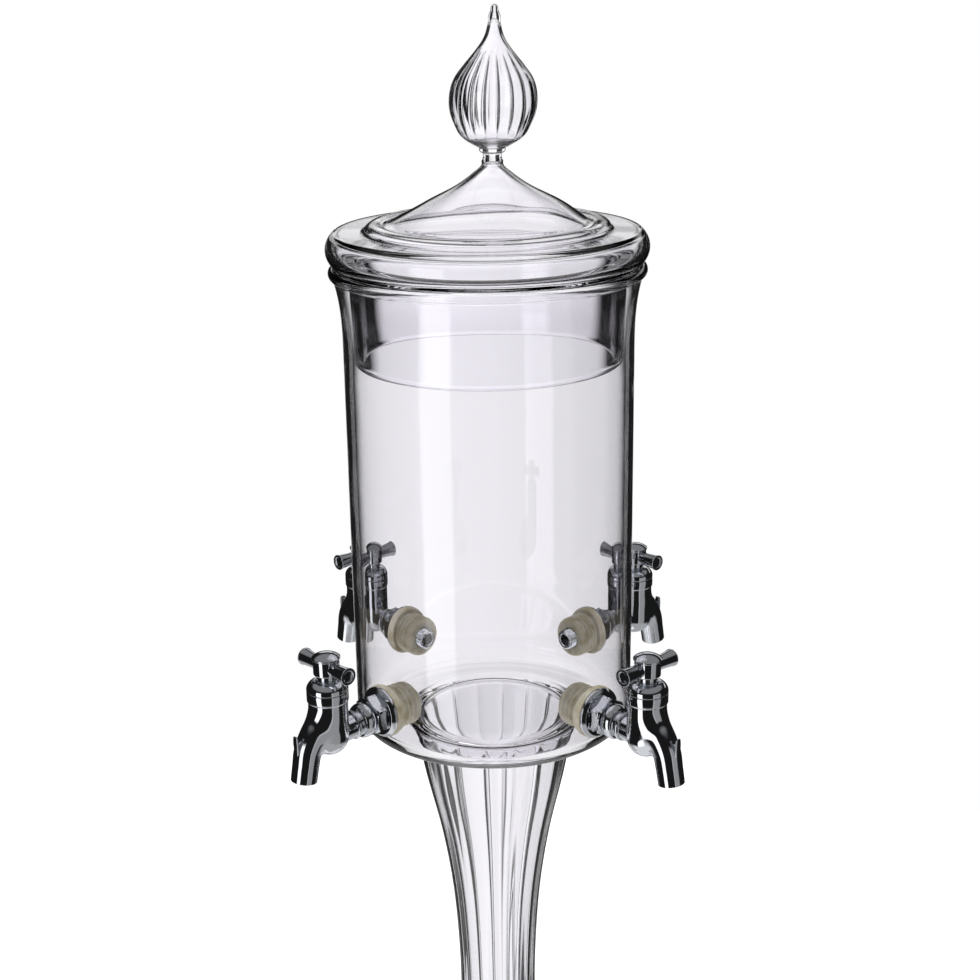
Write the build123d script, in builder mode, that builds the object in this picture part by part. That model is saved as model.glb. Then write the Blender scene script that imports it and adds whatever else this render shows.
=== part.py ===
"""Absinthe fountain: a blown glass vessel on a ribbed stem, with a lid and four quarter-turn taps.

Millimetres, +Z up. The origin is the middle of the ring that the foot stands on.
The front of the fountain faces -Y, and the taps sit on the diagonals.
"""

import os
from math import cos, hypot, pi, radians, sin

from build123d import *

os.makedirs("parts", exist_ok=True)

# Foot and stem
floor_height = 244  # table to the underside of the vessel's floor
foot_radius = 80
foot_edge_height = 9
foot_height = 14  # table to the face that carries the stem
foot_boss_margin = 1  # foot's boss past the stem
foot_ring_width = 12  # flat ring that stands on the table
foot_hollow_depth = 4  # how far the underside is drawn up
stem_wall = 4
stem_base_radius = 31
stem_waist_radius = 18.8
stem_top_radius = 39
rib_count = 20
rib_share = 0.035  # depth of the grooves between ribs, as a share of the radius

# Vessel
vessel_height = 219  # underside of the floor to the top of the lip
vessel_radius = 65
vessel_wall = 3
floor_thickness = 5
corner_radius = 8  # outer corner between floor and wall
flare_height = 38  # length of wall that leans outwards below the lip
flare_out = 3.4  # how far it leans
lip_height = 8.5
lip_overhang = 2.6  # lip past the flared wall

# Lid
seat_width = 3
seat_margin = 1.5  # lip's flat top past the lid's seat
skirt_gap = 1.7  # between the skirt and the vessel's wall
skirt_wall = 4.2
skirt_length = 45  # below the lip
lid_wall = 3
flange_height = 13  # lip to the flat top of the flange
flange_overhang = 6.2  # bulge of the flange past the vessel's wall
flange_round = 4  # how far the bulge rolls over onto the flat top
ring_radius = 54.5  # raised ring between flange and roof, outer edge
ring_width = 8
ring_height = 3.4
ring_rise = 0.8  # ring above the crease at the roof's edge
roof_radius = 43.5
roof_edge_height = 16.7  # lip to the edge of the roof
roof_height = 44.8  # lip to the waist under the finial
roof_knee_radius = 12.8  # where the roof turns up into the neck
roof_knee_drop = 10.6  # waist to that turn
neck_radius = 4.3
neck_bead_radius = 5.9  # ring under the bulb
neck_bead_height = 3.4
lid_bead_radius = 4.8  # smaller swelling where the roof runs out

# Finial
bulb_radius = 19
bulb_height = 50
bulb_wall = 2.8
bulb_foot_radius = 6.5
nib_radius = 3.3
nib_height = 9.5

# Tap, along its inlet from the glass outwards
tap_angles = {"front_left": 225, "front_right": 315, "rear_right": 45, "rear_left": 135}
tap_axis_height = 23  # underside of the vessel's floor to the inlet's axis
shank_radius = 4.85
shank_inside = 14  # inner face of the glass to the shank's end
passage_radius = 2.9
hole_radius = 9.3  # tap hole in the glass
grommet_head_radius = 12
grommet_head_length = 3.4
grommet_sleeve_radius = 10.3
grommet_sleeve_length = 10
grommet_tip_radius = 8.2
washer_radius = 11.6
washer_thickness = 2.8
washer_step = 1.4  # outer edge down to the face under the nut
nut_width = 16.5  # across flats
nut_thickness = 5.8
nut_chamfer = 1
collar_radius = 7.3
collar_bulge = 0.9
collar_length = 5.3
inlet_neck_radius = 5.2
inlet_neck_length = 7  # collar to the barrel's skin
inlet_bead_radius = 6.2
inlet_bead_width = 2
inlet_cone_radius = 8.2  # cone at the barrel's axis

# Tap, up its barrel, from the inlet's axis
barrel_radius = 8.7
barrel_top = 20
barrel_bottom = 10.2
barrel_band_height = 4.2  # thicker band at the barrel's top
barrel_band_step = 0.5
plug_top_radius = 5.6
plug_bottom_radius = 4.9
plug_rise = 6  # the tapered seat reaches this far above and below the inlet's axis
stem_radius = 3
tang_width = 4.2
thrust_washer_thickness = 1.6
spigot_radius = 6.9
bonnet_height = 5.2
bonnet_rim_height = 1.4
bonnet_shoulder_radius = 5.8
bonnet_neck_radius = 4.5
stem_ring_radius = 0.75  # half the thickness of the rubber ring
hub_radius = 5.8
hub_height = 7
hub_neck_length = 2.2
hub_neck_radius = 4.3
bar_height = 3.4  # underside of the hub to the bar's axis
bar_reach = 15.6  # hub's axis to the end of an arm
bar_radius = 2.6
bar_end_radius = 3.7
bar_end_thickness = 0.8
bar_flare_length = 8.5
bar_dish_radius = 2.7
bar_dish_depth = 0.7
cap_radius = 6.3
cap_brim = 0.9
cap_height = 3
cap_screw_radius = 1.5
cap_screw_length = 5.4

# Spout, from the barrel's axis and the inlet's axis
spout_root_radius = 6.9
spout_mouth_radius = 5.85
spout_bore_radius = 4.3
spout_rise = 8.1  # start of the spout's middle line above the inlet's axis
spout_reach = 14.9  # barrel's axis to the middle of the mouth
spout_drop = 18.4  # inlet's axis to the mouth
spout_lean = 11  # degrees from upright at the mouth
spout_root_lean = 50  # degrees from upright where it leaves the barrel
spout_blend = 2.5  # fillet between spout and barrel
hook_width = 4.4
hook_thickness = 1.7
hook_height = 8
hook_drop = 5.5  # inlet's axis to the hook's root

# Clearances and small edges
running_fit = 0.05
assembly_fit = 0.05
handle_gap = 0.4  # between bonnet and handle
end_gap = 0.5  # past the end of the plug, the tang and the cap's screw
edge_break = 0.5
merge_depth = 0.5  # how far fused forms of one piece run into each other

# Heights that follow
lip_level = floor_height + vessel_height
lid_top = lip_level + roof_height
tap_level = floor_height + tap_axis_height
barrel_level = tap_level + barrel_top
plug_level = tap_level + plug_rise
bonnet_level = barrel_level + bonnet_height
hub_foot = bonnet_level + handle_gap
hub_level = hub_foot + hub_neck_length
hub_top = hub_level + hub_height

# Distances from the vessel's axis that follow
glass_inner = vessel_radius - vessel_wall
shank_end = glass_inner - shank_inside
head_face = vessel_radius + grommet_head_length
washer_face = head_face + washer_thickness
nut_face = washer_face + nut_thickness
collar_face = nut_face + collar_length
tap_reach = collar_face + inlet_neck_length + barrel_radius
inlet_axis = Axis((0, 0, tap_level), (1, 0, 0))
barrel_axis = Axis((tap_reach, 0, 0), (0, 0, 1))


def polar(radius, angle):
    """Point at a radius and an angle in radians."""
    return (radius * cos(angle), radius * sin(angle))


def ribbed_ring(radius):
    """Closed line of arcs, each swelling from one groove to the next."""
    step = 2 * pi / rib_count
    groove = radius * (1 - rib_share)
    for rib in range(rib_count):
        left = polar(groove, (rib - 0.5) * step)
        crest = polar(radius, rib * step)
        right = polar(groove, (rib + 0.5) * step)
        ThreePointArc(left, crest, right)


def along_inlet(points):
    """Points given as distance from the vessel's axis and distance from the inlet's axis."""
    return [(out, tap_level + up) for out, up in points]


def around_barrel(points):
    """Points given as distance from the barrel's axis and height above the inlet's axis."""
    return [(tap_reach + out, tap_level + up) for out, up in points]


def spout_plane(out, up, lean):
    """Plane square to the spout's run, which leans outwards from straight down by an angle in degrees."""
    run = (sin(radians(lean)), 0, -cos(radians(lean)))
    return Plane(origin=(tap_reach + out, 0, tap_level + up), x_dir=(0, 1, 0), z_dir=run)


# Foot: thin at the rim, drawn up underneath, rising to a boss under the stem
with BuildPart() as foot:
    foot_ring_outer = foot_radius - foot_edge_height / 2
    foot_ring_inner = foot_ring_outer - foot_ring_width
    foot_boss_radius = stem_base_radius + foot_boss_margin
    with BuildSketch(Plane.XZ):
        with BuildLine():
            ThreePointArc(
                (0, foot_hollow_depth),
                (foot_ring_inner / 2, foot_hollow_depth * 0.75),
                (foot_ring_inner, 0),
            )
            Line((foot_ring_inner, 0), (foot_ring_outer, 0))
            ThreePointArc(
                (foot_ring_outer, 0),
                (foot_radius, foot_edge_height / 2),
                (foot_ring_outer, foot_edge_height),
            )
            Spline(
                (foot_ring_outer, foot_edge_height),
                (foot_boss_radius, foot_height),
                tangents=((-1, 0), (-1, 0.5)),
            )
            Polyline((foot_boss_radius, foot_height), (0, foot_height), (0, foot_hollow_depth))
        make_face()
    revolve(axis=Axis.Z)
foot.part.label = "foot"
export_step(foot.part, "parts/foot.step")

# Ribbed stem: hollow trumpet. Each station is a share of the length and a share of the flare below
# or above the waist.
stem_length = floor_height - foot_height
base_flare = stem_base_radius - stem_waist_radius
top_flare = stem_top_radius - stem_waist_radius
stem_stations = (
    (0, base_flare),
    (0.09, base_flare * 0.43),
    (0.2, base_flare * 0.1),
    (0.32, 0),
    (0.48, top_flare * 0.04),
    (0.61, top_flare * 0.16),
    (0.73, top_flare * 0.37),
    (0.88, top_flare * 0.75),
    (1, top_flare),
)
stem_outline = [
    (stem_waist_radius + flare, foot_height + share * stem_length) for share, flare in stem_stations
]
with BuildPart() as ribbed_stem:
    for radius, level in stem_outline:
        with BuildSketch(Plane.XY.offset(level)):
            with BuildLine():
                ribbed_ring(radius)
            make_face()
    loft()
    with BuildSketch(Plane.XZ):
        with BuildLine():
            bore = Spline(*[(radius * (1 - rib_share) - stem_wall, level) for radius, level in stem_outline])
            Polyline(bore @ 1, (0, floor_height), (0, foot_height), bore @ 0)
        make_face()
    revolve(axis=Axis.Z, mode=Mode.SUBTRACT)
ribbed_stem.part.label = "ribbed_stem"
export_step(ribbed_stem.part, "parts/ribbed_stem.step")

# Vessel: straight wall, rounded bottom corner, flared mouth with a rolled lip ground flat on top
with BuildPart() as glass_vessel:
    lip_start = lip_level - lip_height
    flare_start = lip_start - flare_height
    wall_top = vessel_radius + flare_out
    lip_inner = wall_top - vessel_wall
    floor_top = floor_height + floor_thickness
    corner_start = vessel_radius - corner_radius
    inner_corner = corner_radius - vessel_wall / 2
    with BuildSketch(Plane.XZ):
        with BuildLine():
            Line((0, floor_height), (corner_start, floor_height))
            RadiusArc(
                (corner_start, floor_height),
                (vessel_radius, floor_height + corner_radius),
                -corner_radius,
            )
            Line((vessel_radius, floor_height + corner_radius), (vessel_radius, flare_start))
            Spline(
                (vessel_radius, flare_start),
                (wall_top, lip_start),
                tangents=((0, 1), (0.3, 1)),
            )
            ThreePointArc(
                (wall_top, lip_start),
                (wall_top + lip_overhang, lip_level - lip_height * 0.42),
                (wall_top, lip_level),
            )
            Line((wall_top, lip_level), (lip_inner, lip_level))
            Spline(
                (lip_inner, lip_level),
                (glass_inner, flare_start),
                tangents=((-0.2, -1), (0, -1)),
            )
            Line((glass_inner, flare_start), (glass_inner, floor_top + inner_corner))
            RadiusArc(
                (glass_inner, floor_top + inner_corner),
                (glass_inner - inner_corner, floor_top),
                inner_corner,
            )
            Polyline((glass_inner - inner_corner, floor_top), (0, floor_top), (0, floor_height))
        make_face()
    revolve(axis=Axis.Z)
    for angle in tap_angles.values():
        outward = (cos(radians(angle)), sin(radians(angle)), 0)
        with BuildSketch(Plane(origin=(0, 0, tap_level), z_dir=outward)):
            Circle(hole_radius)
        extrude(amount=vessel_radius + vessel_wall, mode=Mode.SUBTRACT)
glass_vessel.part.label = "glass_vessel"
export_step(glass_vessel.part, "parts/glass_vessel.step")

# Lid: one blown shell from the neck down over roof, raised ring and rolled flange to the skirt
with BuildPart() as lid:
    flange_level = lip_level + flange_height
    flange_outer = vessel_radius + flange_overhang
    flange_edge = flange_outer - flange_round
    bulge_level = lip_level + flange_height * 0.54
    seat_outer = wall_top - seat_margin
    seat_inner = seat_outer - seat_width
    skirt_outer = glass_inner - skirt_gap
    skirt_inner = skirt_outer - skirt_wall
    skirt_end = lip_level - skirt_length + skirt_wall / 2
    skirt_bend = seat_inner - skirt_outer
    roof_edge = lip_level + roof_edge_height
    ring_inner = ring_radius - ring_width
    ring_top = flange_level + ring_height
    bead_level = lid_top - neck_bead_height
    groove_radius = (neck_radius + lid_bead_radius) / 2
    groove_level = bead_level - neck_bead_height / 2
    seat_under = lip_level + lid_wall
    flange_under = flange_level - lid_wall
    with BuildSketch(Plane.XZ):
        with BuildLine():
            # Outside, from the neck down
            Line((0, lid_top), (neck_radius, lid_top))
            ThreePointArc(
                (neck_radius, lid_top),
                (lid_bead_radius, bead_level),
                (groove_radius, groove_level),
            )
            Spline(
                (groove_radius, groove_level),
                (roof_knee_radius, lid_top - roof_knee_drop),
                (roof_radius, roof_edge),
                tangents=((0.45, -1), (1, -0.52)),
            )
            Line((roof_radius, roof_edge), (ring_inner, ring_top - ring_rise))
            ThreePointArc(
                (ring_inner, ring_top - ring_rise),
                (ring_radius - ring_width * 0.35, ring_top),
                (ring_radius, flange_level),
            )
            Line((ring_radius, flange_level), (flange_edge, flange_level))
            ThreePointArc(
                (flange_edge, flange_level),
                (flange_outer, bulge_level),
                (seat_outer, lip_level),
            )
            Line((seat_outer, lip_level), (seat_inner, lip_level))
            RadiusArc((seat_inner, lip_level), (skirt_outer, lip_level - skirt_bend), -skirt_bend)
            Line((skirt_outer, lip_level - skirt_bend), (skirt_outer, skirt_end))
            ThreePointArc(
                (skirt_outer, skirt_end),
                (skirt_outer - skirt_wall / 2, skirt_end - skirt_wall / 2),
                (skirt_inner, skirt_end),
            )
            # Inside, back up to the axis
            Line((skirt_inner, skirt_end), (skirt_inner, seat_under - skirt_bend))
            RadiusArc(
                (skirt_inner, seat_under - skirt_bend),
                (skirt_inner + skirt_bend, seat_under),
                skirt_bend,
            )
            Line((skirt_inner + skirt_bend, seat_under), (seat_outer - lid_wall * 0.6, seat_under))
            ThreePointArc(
                (seat_outer - lid_wall * 0.6, seat_under),
                (flange_outer - lid_wall, bulge_level),
                (flange_edge - lid_wall * 0.3, flange_under),
            )
            Line((flange_edge - lid_wall * 0.3, flange_under), (ring_radius - lid_wall * 0.6, flange_under))
            ThreePointArc(
                (ring_radius - lid_wall * 0.6, flange_under),
                (ring_radius - ring_width * 0.45, ring_top - lid_wall),
                (ring_inner, ring_top - ring_rise - lid_wall),
            )
            Line(
                (ring_inner, ring_top - ring_rise - lid_wall),
                (roof_radius - lid_wall * 0.3, roof_edge - lid_wall),
            )
            hollow_top = lid_top - neck_bead_height * 2 - lid_wall
            Spline(
                (roof_radius - lid_wall * 0.3, roof_edge - lid_wall),
                (roof_knee_radius - lid_wall * 0.8, lid_top - roof_knee_drop - lid_wall / 2),
                (0, hollow_top),
                tangents=((-1, 0.52), (-1, 0)),
            )
            Line((0, hollow_top), (0, lid_top))
        make_face()
    revolve(axis=Axis.Z)
lid.part.label = "lid"
export_step(lid.part, "parts/lid.step")

# Finial: beaded neck, hollow ribbed onion and a solid nib at the tip
bulb_level = lid_top + neck_bead_height
nib_level = bulb_level + bulb_height
bulb_stations = (
    (0, bulb_foot_radius),
    (0.065, bulb_radius * 0.64),
    (0.2, bulb_radius * 0.89),
    (0.4, bulb_radius),
    (0.6, bulb_radius * 0.89),
    (0.7, bulb_radius * 0.7),
    (0.8, bulb_radius * 0.49),
    (0.9, bulb_radius * 0.3),
    (1, nib_radius),
)
bulb_outline = [(radius, bulb_level + share * bulb_height) for share, radius in bulb_stations]
with BuildPart() as finial:
    for radius, level in bulb_outline:
        with BuildSketch(Plane.XY.offset(level)):
            with BuildLine():
                ribbed_ring(radius)
            make_face()
    loft()
    with BuildSketch(Plane.XZ):
        with BuildLine():
            Line((0, lid_top), (neck_radius, lid_top))
            ThreePointArc(
                (neck_radius, lid_top),
                (neck_bead_radius, bulb_level - neck_bead_height * 0.3),
                (neck_radius, bulb_level + merge_depth),
            )
            Polyline((neck_radius, bulb_level + merge_depth), (0, bulb_level + merge_depth), (0, lid_top))
        make_face()
        with BuildLine():
            nib_base = nib_radius * (1 - rib_share)
            Line((0, nib_level - merge_depth), (nib_base, nib_level - merge_depth))
            Spline(
                (nib_base, nib_level - merge_depth),
                (nib_radius * 0.72, nib_level + nib_height * 0.5),
                (0, nib_level + nib_height),
                tangents=((0, 1), (-1, 0)),
            )
            Line((0, nib_level + nib_height), (0, nib_level - merge_depth))
        make_face()
    revolve(axis=Axis.Z)
    with BuildSketch(Plane.XZ):
        with BuildLine():
            hollow = Spline(
                (0, bulb_level + bulb_wall),
                *[(radius * (1 - rib_share) - bulb_wall, level) for radius, level in bulb_outline[2:-2]],
                (0, bulb_level + bulb_height * 0.9),
                tangents=((1, 0), (-1, 0.4)),
            )
            Line(hollow @ 1, hollow @ 0)
        make_face()
    revolve(axis=Axis.Z, mode=Mode.SUBTRACT)
finial.part.label = "finial"
export_step(finial.part, "parts/finial.step")

# The spout's middle line runs in an S from inside the barrel to the mouth. Each station has its share
# of the reach, of the fall, of the change in lean and of the taper.
spout_fall = spout_rise + spout_drop
spout_turn = spout_root_lean - spout_lean
spout_taper = spout_root_radius - spout_mouth_radius
spout_shares = (
    (0.067, 0.022, 0, 0),
    (0.282, 0.117, 0.13, 0),
    (0.55, 0.275, 0.31, 0.29),
    (0.8, 0.49, 0.67, 0.67),
    (0.906, 0.736, 0.97, 0.9),
    (0.953, 0.868, 1, 1),
    (1, 1, 1, 1),
)
spout_run = [
    (
        spout_reach * reach,
        spout_rise - spout_fall * fall,
        spout_root_lean - spout_turn * turn,
        spout_root_radius - spout_taper * taper,
    )
    for reach, fall, turn, taper in spout_shares
]
waterway_run = spout_run[2:]
waterway_shares = (0, 0.64, 0.93, 1, 1)
waterway_radii = [passage_radius + (spout_bore_radius - passage_radius) * share for share in waterway_shares]

# Tap body: barrel with a round belly, S-shaped spout, hook, ringed inlet and shank, bored right through.
# The tap is drawn once, pointing along +X, and set at its four places at the end.
with BuildPart() as tap_body:
    # Barrel
    band_radius = barrel_radius + barrel_band_step
    band_bottom = barrel_top - barrel_band_height
    with BuildSketch(Plane.XZ):
        with BuildLine():
            barrel_line = Polyline(
                *around_barrel(
                    (
                        (0, -barrel_bottom),
                        (0, barrel_top),
                        (band_radius, barrel_top),
                        (band_radius, band_bottom),
                        (barrel_radius, band_bottom - barrel_band_step),
                        (barrel_radius, barrel_radius - barrel_bottom),
                    )
                )
            )
            RadiusArc(barrel_line @ 1, barrel_line @ 0, barrel_radius)
        make_face()
    revolve(axis=barrel_axis)
    # Spout, blended into the barrel along the line where they meet
    for out, up, lean, radius in spout_run:
        with BuildSketch(spout_plane(out, up, lean)):
            Circle(radius)
    loft()
    meeting_line = (
        tap_body.edges()
        .filter_by(GeomType.BSPLINE)
        .filter_by(lambda edge: hypot((edge @ 0.5).X - tap_reach, (edge @ 0.5).Y) < barrel_radius + edge_break)
    )
    fillet(meeting_line, spout_blend)
    # Hook on the spout's outer side, open at the top
    hook_root = spout_run[3][0] + spout_run[3][3]
    with BuildSketch(Plane.XZ):
        with BuildLine():
            Polyline(
                *around_barrel(
                    (
                        (hook_root - hook_thickness, -hook_drop - hook_height * 0.3),
                        (hook_root + hook_thickness * 0.3, -hook_drop - hook_height * 0.3),
                        (hook_root + hook_thickness * 0.2, -hook_drop),
                        (hook_root, hook_height - hook_drop),
                        (hook_root - hook_thickness * 0.5, hook_height - hook_drop),
                        (hook_root - hook_thickness, hook_height * 0.3 - hook_drop),
                        (hook_root - hook_thickness * 2, -hook_drop),
                    )
                ),
                close=True,
            )
        make_face()
    extrude(amount=hook_width / 2, both=True)
    # Inlet: shank, round collar, neck with a bead, and a cone that runs into the barrel
    collar_edge = collar_radius - collar_bulge
    bead_face = collar_face + inlet_neck_length * 0.25
    bead_end = bead_face + inlet_bead_width
    with BuildSketch(Plane.XZ):
        with BuildLine():
            shank_line = Polyline(
                *along_inlet(
                    (
                        (tap_reach, 0),
                        (shank_end, 0),
                        (shank_end, shank_radius - edge_break),
                        (shank_end + edge_break, shank_radius),
                        (nut_face, shank_radius),
                        (nut_face, collar_edge),
                    )
                )
            )
            ThreePointArc(
                *along_inlet(
                    (
                        (nut_face, collar_edge),
                        ((nut_face + collar_face) / 2, collar_radius),
                        (collar_face, collar_edge),
                    )
                )
            )
            Polyline(
                *along_inlet(
                    (
                        (collar_face, collar_edge),
                        (collar_face, inlet_neck_radius),
                        (bead_face, inlet_neck_radius),
                    )
                )
            )
            ThreePointArc(
                *along_inlet(
                    (
                        (bead_face, inlet_neck_radius),
                        ((bead_face + bead_end) / 2, inlet_bead_radius),
                        (bead_end, inlet_neck_radius),
                    )
                )
            )
            Polyline(
                *along_inlet(
                    (
                        (bead_end, inlet_neck_radius),
                        (tap_reach, inlet_cone_radius),
                        (tap_reach, 0),
                    )
                )
            )
        make_face()
    revolve(axis=inlet_axis)
    # Tapered seat and the bonnet's socket above it
    with BuildSketch(Plane.XZ):
        with BuildLine():
            Polyline(
                *around_barrel(
                    (
                        (0, -plug_rise - end_gap),
                        (plug_bottom_radius + running_fit, -plug_rise - end_gap),
                        (plug_top_radius + running_fit, plug_rise),
                        (spigot_radius + assembly_fit, plug_rise),
                        (spigot_radius + assembly_fit, barrel_top),
                        (0, barrel_top),
                    )
                ),
                close=True,
            )
        make_face()
    revolve(axis=barrel_axis, mode=Mode.SUBTRACT)
    # Waterway through the shank, past the plug and down the spout
    with BuildSketch(Plane.YZ.offset(shank_end)):
        with Locations((0, tap_level)):
            Circle(passage_radius)
    extrude(amount=tap_reach + waterway_run[0][0] + passage_radius / 2 - shank_end, mode=Mode.SUBTRACT)
    for (out, up, lean, _), radius in zip(waterway_run, waterway_radii):
        with BuildSketch(spout_plane(out, up, lean)):
            Circle(radius)
    loft(mode=Mode.SUBTRACT)

# Lock nut, with its corners turned off at both ends
with BuildPart() as lock_nut:
    with BuildSketch(Plane.YZ.offset(washer_face)):
        with Locations((0, tap_level)):
            RegularPolygon(nut_width / 2, 6, major_radius=False, rotation=30)
            Circle(shank_radius + assembly_fit, mode=Mode.SUBTRACT)
    extrude(amount=nut_thickness)
    nut_corner = nut_width / 2 + nut_chamfer * 1.3
    with BuildSketch(Plane.XZ):
        with BuildLine():
            Polyline(
                *along_inlet(
                    (
                        (washer_face, 0),
                        (washer_face, nut_corner - nut_chamfer),
                        (washer_face + nut_chamfer, nut_corner),
                        (nut_face - nut_chamfer, nut_corner),
                        (nut_face, nut_corner - nut_chamfer),
                        (nut_face, 0),
                    )
                ),
                close=True,
            )
        make_face()
    revolve(axis=inlet_axis, mode=Mode.INTERSECT)

# Flange washer: a disc with broken edges that slopes down to the face under the nut
with BuildPart() as flange_washer:
    with BuildSketch(Plane.XZ):
        with BuildLine():
            Polyline(
                *along_inlet(
                    (
                        (head_face, shank_radius + assembly_fit),
                        (head_face, washer_radius - edge_break),
                        (head_face + edge_break, washer_radius),
                        (washer_face - washer_step, washer_radius),
                        (washer_face, washer_radius - washer_step),
                        (washer_face, shank_radius + assembly_fit),
                    )
                ),
                close=True,
            )
        make_face()
    revolve(axis=inlet_axis)

# The stretch of glass wall round the grommet's waist, which the grommet leaves free
with BuildPart() as wall_band:
    with BuildSketch(Plane.XY.offset(tap_level - 2 * grommet_head_radius)):
        Circle(vessel_radius + assembly_fit)
        Circle(glass_inner - assembly_fit, mode=Mode.SUBTRACT)
    extrude(amount=4 * grommet_head_radius)
    with BuildSketch(Plane.YZ):
        with Locations((0, tap_level)):
            Circle(hole_radius - assembly_fit)
    extrude(amount=vessel_radius + vessel_wall, mode=Mode.SUBTRACT)

# Grommet: head outside the glass, waist in the hole, round sleeve inside
with BuildPart() as grommet:
    sleeve_end = glass_inner - grommet_sleeve_length
    sleeve_round = grommet_sleeve_radius - grommet_tip_radius
    with BuildSketch(Plane.XZ):
        with BuildLine():
            grommet_line = Polyline(
                *along_inlet(
                    (
                        (sleeve_end, grommet_tip_radius),
                        (sleeve_end, shank_radius + assembly_fit),
                        (head_face, shank_radius + assembly_fit),
                        (head_face, grommet_head_radius),
                        (head_face - grommet_head_length * 0.6, grommet_head_radius),
                        (glass_inner + vessel_wall / 2, grommet_sleeve_radius),
                        (sleeve_end + sleeve_round, grommet_sleeve_radius),
                    )
                )
            )
            RadiusArc(grommet_line @ 1, grommet_line @ 0, -sleeve_round)
        make_face()
    revolve(axis=inlet_axis)
    add(wall_band.part, mode=Mode.SUBTRACT)

# Valve plug: tapered, with a cross port that lies across the flow when the tap is shut
with BuildPart() as valve_plug:
    plug_shoulder = plug_rise - 2 * running_fit
    tang_foot = hub_foot - tap_level
    tang_top = hub_top - tap_level - end_gap
    groove_middle = barrel_top + bonnet_rim_height
    groove_half = stem_ring_radius + assembly_fit
    groove_floor = stem_radius - stem_ring_radius
    with BuildSketch(Plane.XZ):
        with BuildLine():
            Polyline(
                *around_barrel(
                    (
                        (0, -plug_rise),
                        (plug_bottom_radius, -plug_rise),
                        (plug_top_radius, plug_shoulder),
                        (stem_radius, plug_shoulder),
                        (stem_radius, groove_middle - groove_half),
                        (groove_floor, groove_middle - groove_half),
                        (groove_floor, groove_middle + groove_half),
                        (stem_radius, groove_middle + groove_half),
                        (stem_radius, tang_foot),
                        (0, tang_foot),
                    )
                ),
                close=True,
            )
        make_face()
    revolve(axis=barrel_axis)
    with BuildSketch(Plane((tap_reach, 0, hub_foot))):
        Rectangle(tang_width, tang_width)
    extrude(amount=tang_top - tang_foot)
    with BuildSketch(Plane.XZ.offset(-plug_top_radius)):
        with Locations((tap_reach, tap_level)):
            Circle(passage_radius)
    extrude(amount=2 * plug_top_radius, mode=Mode.SUBTRACT)
    with BuildSketch(Plane((tap_reach, 0, hub_top - end_gap))):
        Circle(cap_screw_radius + assembly_fit)
    extrude(amount=-cap_screw_length, mode=Mode.SUBTRACT)

# Thrust washer on the seat's shoulder, under the bonnet
with BuildPart() as thrust_washer:
    with BuildSketch(Plane((tap_reach, 0, plug_level))):
        Circle(spigot_radius)
        Circle(stem_radius + running_fit, mode=Mode.SUBTRACT)
    extrude(amount=thrust_washer_thickness)

# Rubber ring in the stem's groove
with BuildPart() as stem_ring:
    ring_middle = groove_floor + groove_half
    with BuildSketch(Plane.XZ):
        with Locations(*around_barrel([(ring_middle, groove_middle)])):
            Circle(stem_ring_radius)
    revolve(axis=barrel_axis)

# Bonnet: spigot down to the thrust washer, rim on the barrel, round shoulder up to the neck
with BuildPart() as bonnet:
    spigot_bottom = plug_rise + thrust_washer_thickness
    chamber_radius = ring_middle + stem_ring_radius + running_fit
    chamber_top = groove_middle + 2 * groove_half
    bonnet_top = barrel_top + bonnet_height
    with BuildSketch(Plane.XZ):
        with BuildLine():
            bonnet_line = Polyline(
                *around_barrel(
                    (
                        (bonnet_neck_radius, bonnet_top),
                        (stem_radius + running_fit, bonnet_top),
                        (stem_radius + running_fit, chamber_top),
                        (chamber_radius, chamber_top),
                        (chamber_radius, spigot_bottom),
                        (spigot_radius, spigot_bottom),
                        (spigot_radius, barrel_top),
                        (band_radius - edge_break, barrel_top),
                        (band_radius, barrel_top + edge_break),
                        (band_radius, barrel_top + bonnet_rim_height),
                    )
                )
            )
            RadiusArc(bonnet_line @ 1, bonnet_line @ 0, -bonnet_shoulder_radius)
        make_face()
    revolve(axis=barrel_axis)

# T handle: hub on a short neck, and two arms that flare to dished ends
with BuildPart() as handle:
    bar_level = hub_level + bar_height
    with BuildSketch(Plane((tap_reach, 0, hub_foot))):
        Circle(hub_neck_radius)
    extrude(amount=hub_neck_length)
    with BuildSketch(Plane((tap_reach, 0, hub_level))):
        Circle(hub_radius)
    extrude(amount=hub_height)
    with BuildSketch(Plane.YZ.offset(tap_reach)):
        with BuildLine():
            arm_line = Polyline(
                (0, bar_level),
                (0, bar_level + bar_radius),
                (bar_reach - bar_flare_length, bar_level + bar_radius),
            )
            Spline(
                arm_line @ 1,
                (bar_reach - bar_end_thickness, bar_level + bar_end_radius),
                tangents=((1, 0), (0.8, 0.6)),
            )
            Polyline(
                (bar_reach - bar_end_thickness, bar_level + bar_end_radius),
                (bar_reach, bar_level + bar_end_radius),
                (bar_reach, bar_level + bar_dish_radius),
                (bar_reach - bar_dish_depth, bar_level + bar_dish_radius),
                (bar_reach - bar_dish_depth, bar_level),
                (0, bar_level),
            )
        make_face()
    revolve(axis=Axis((tap_reach, 0, bar_level), (0, 1, 0)))
    mirror(about=Plane.XZ)
    with BuildSketch(Plane((tap_reach, 0, hub_foot))):
        Rectangle(tang_width + 2 * assembly_fit, tang_width + 2 * assembly_fit)
    extrude(amount=hub_neck_length + hub_height, mode=Mode.SUBTRACT)

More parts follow.
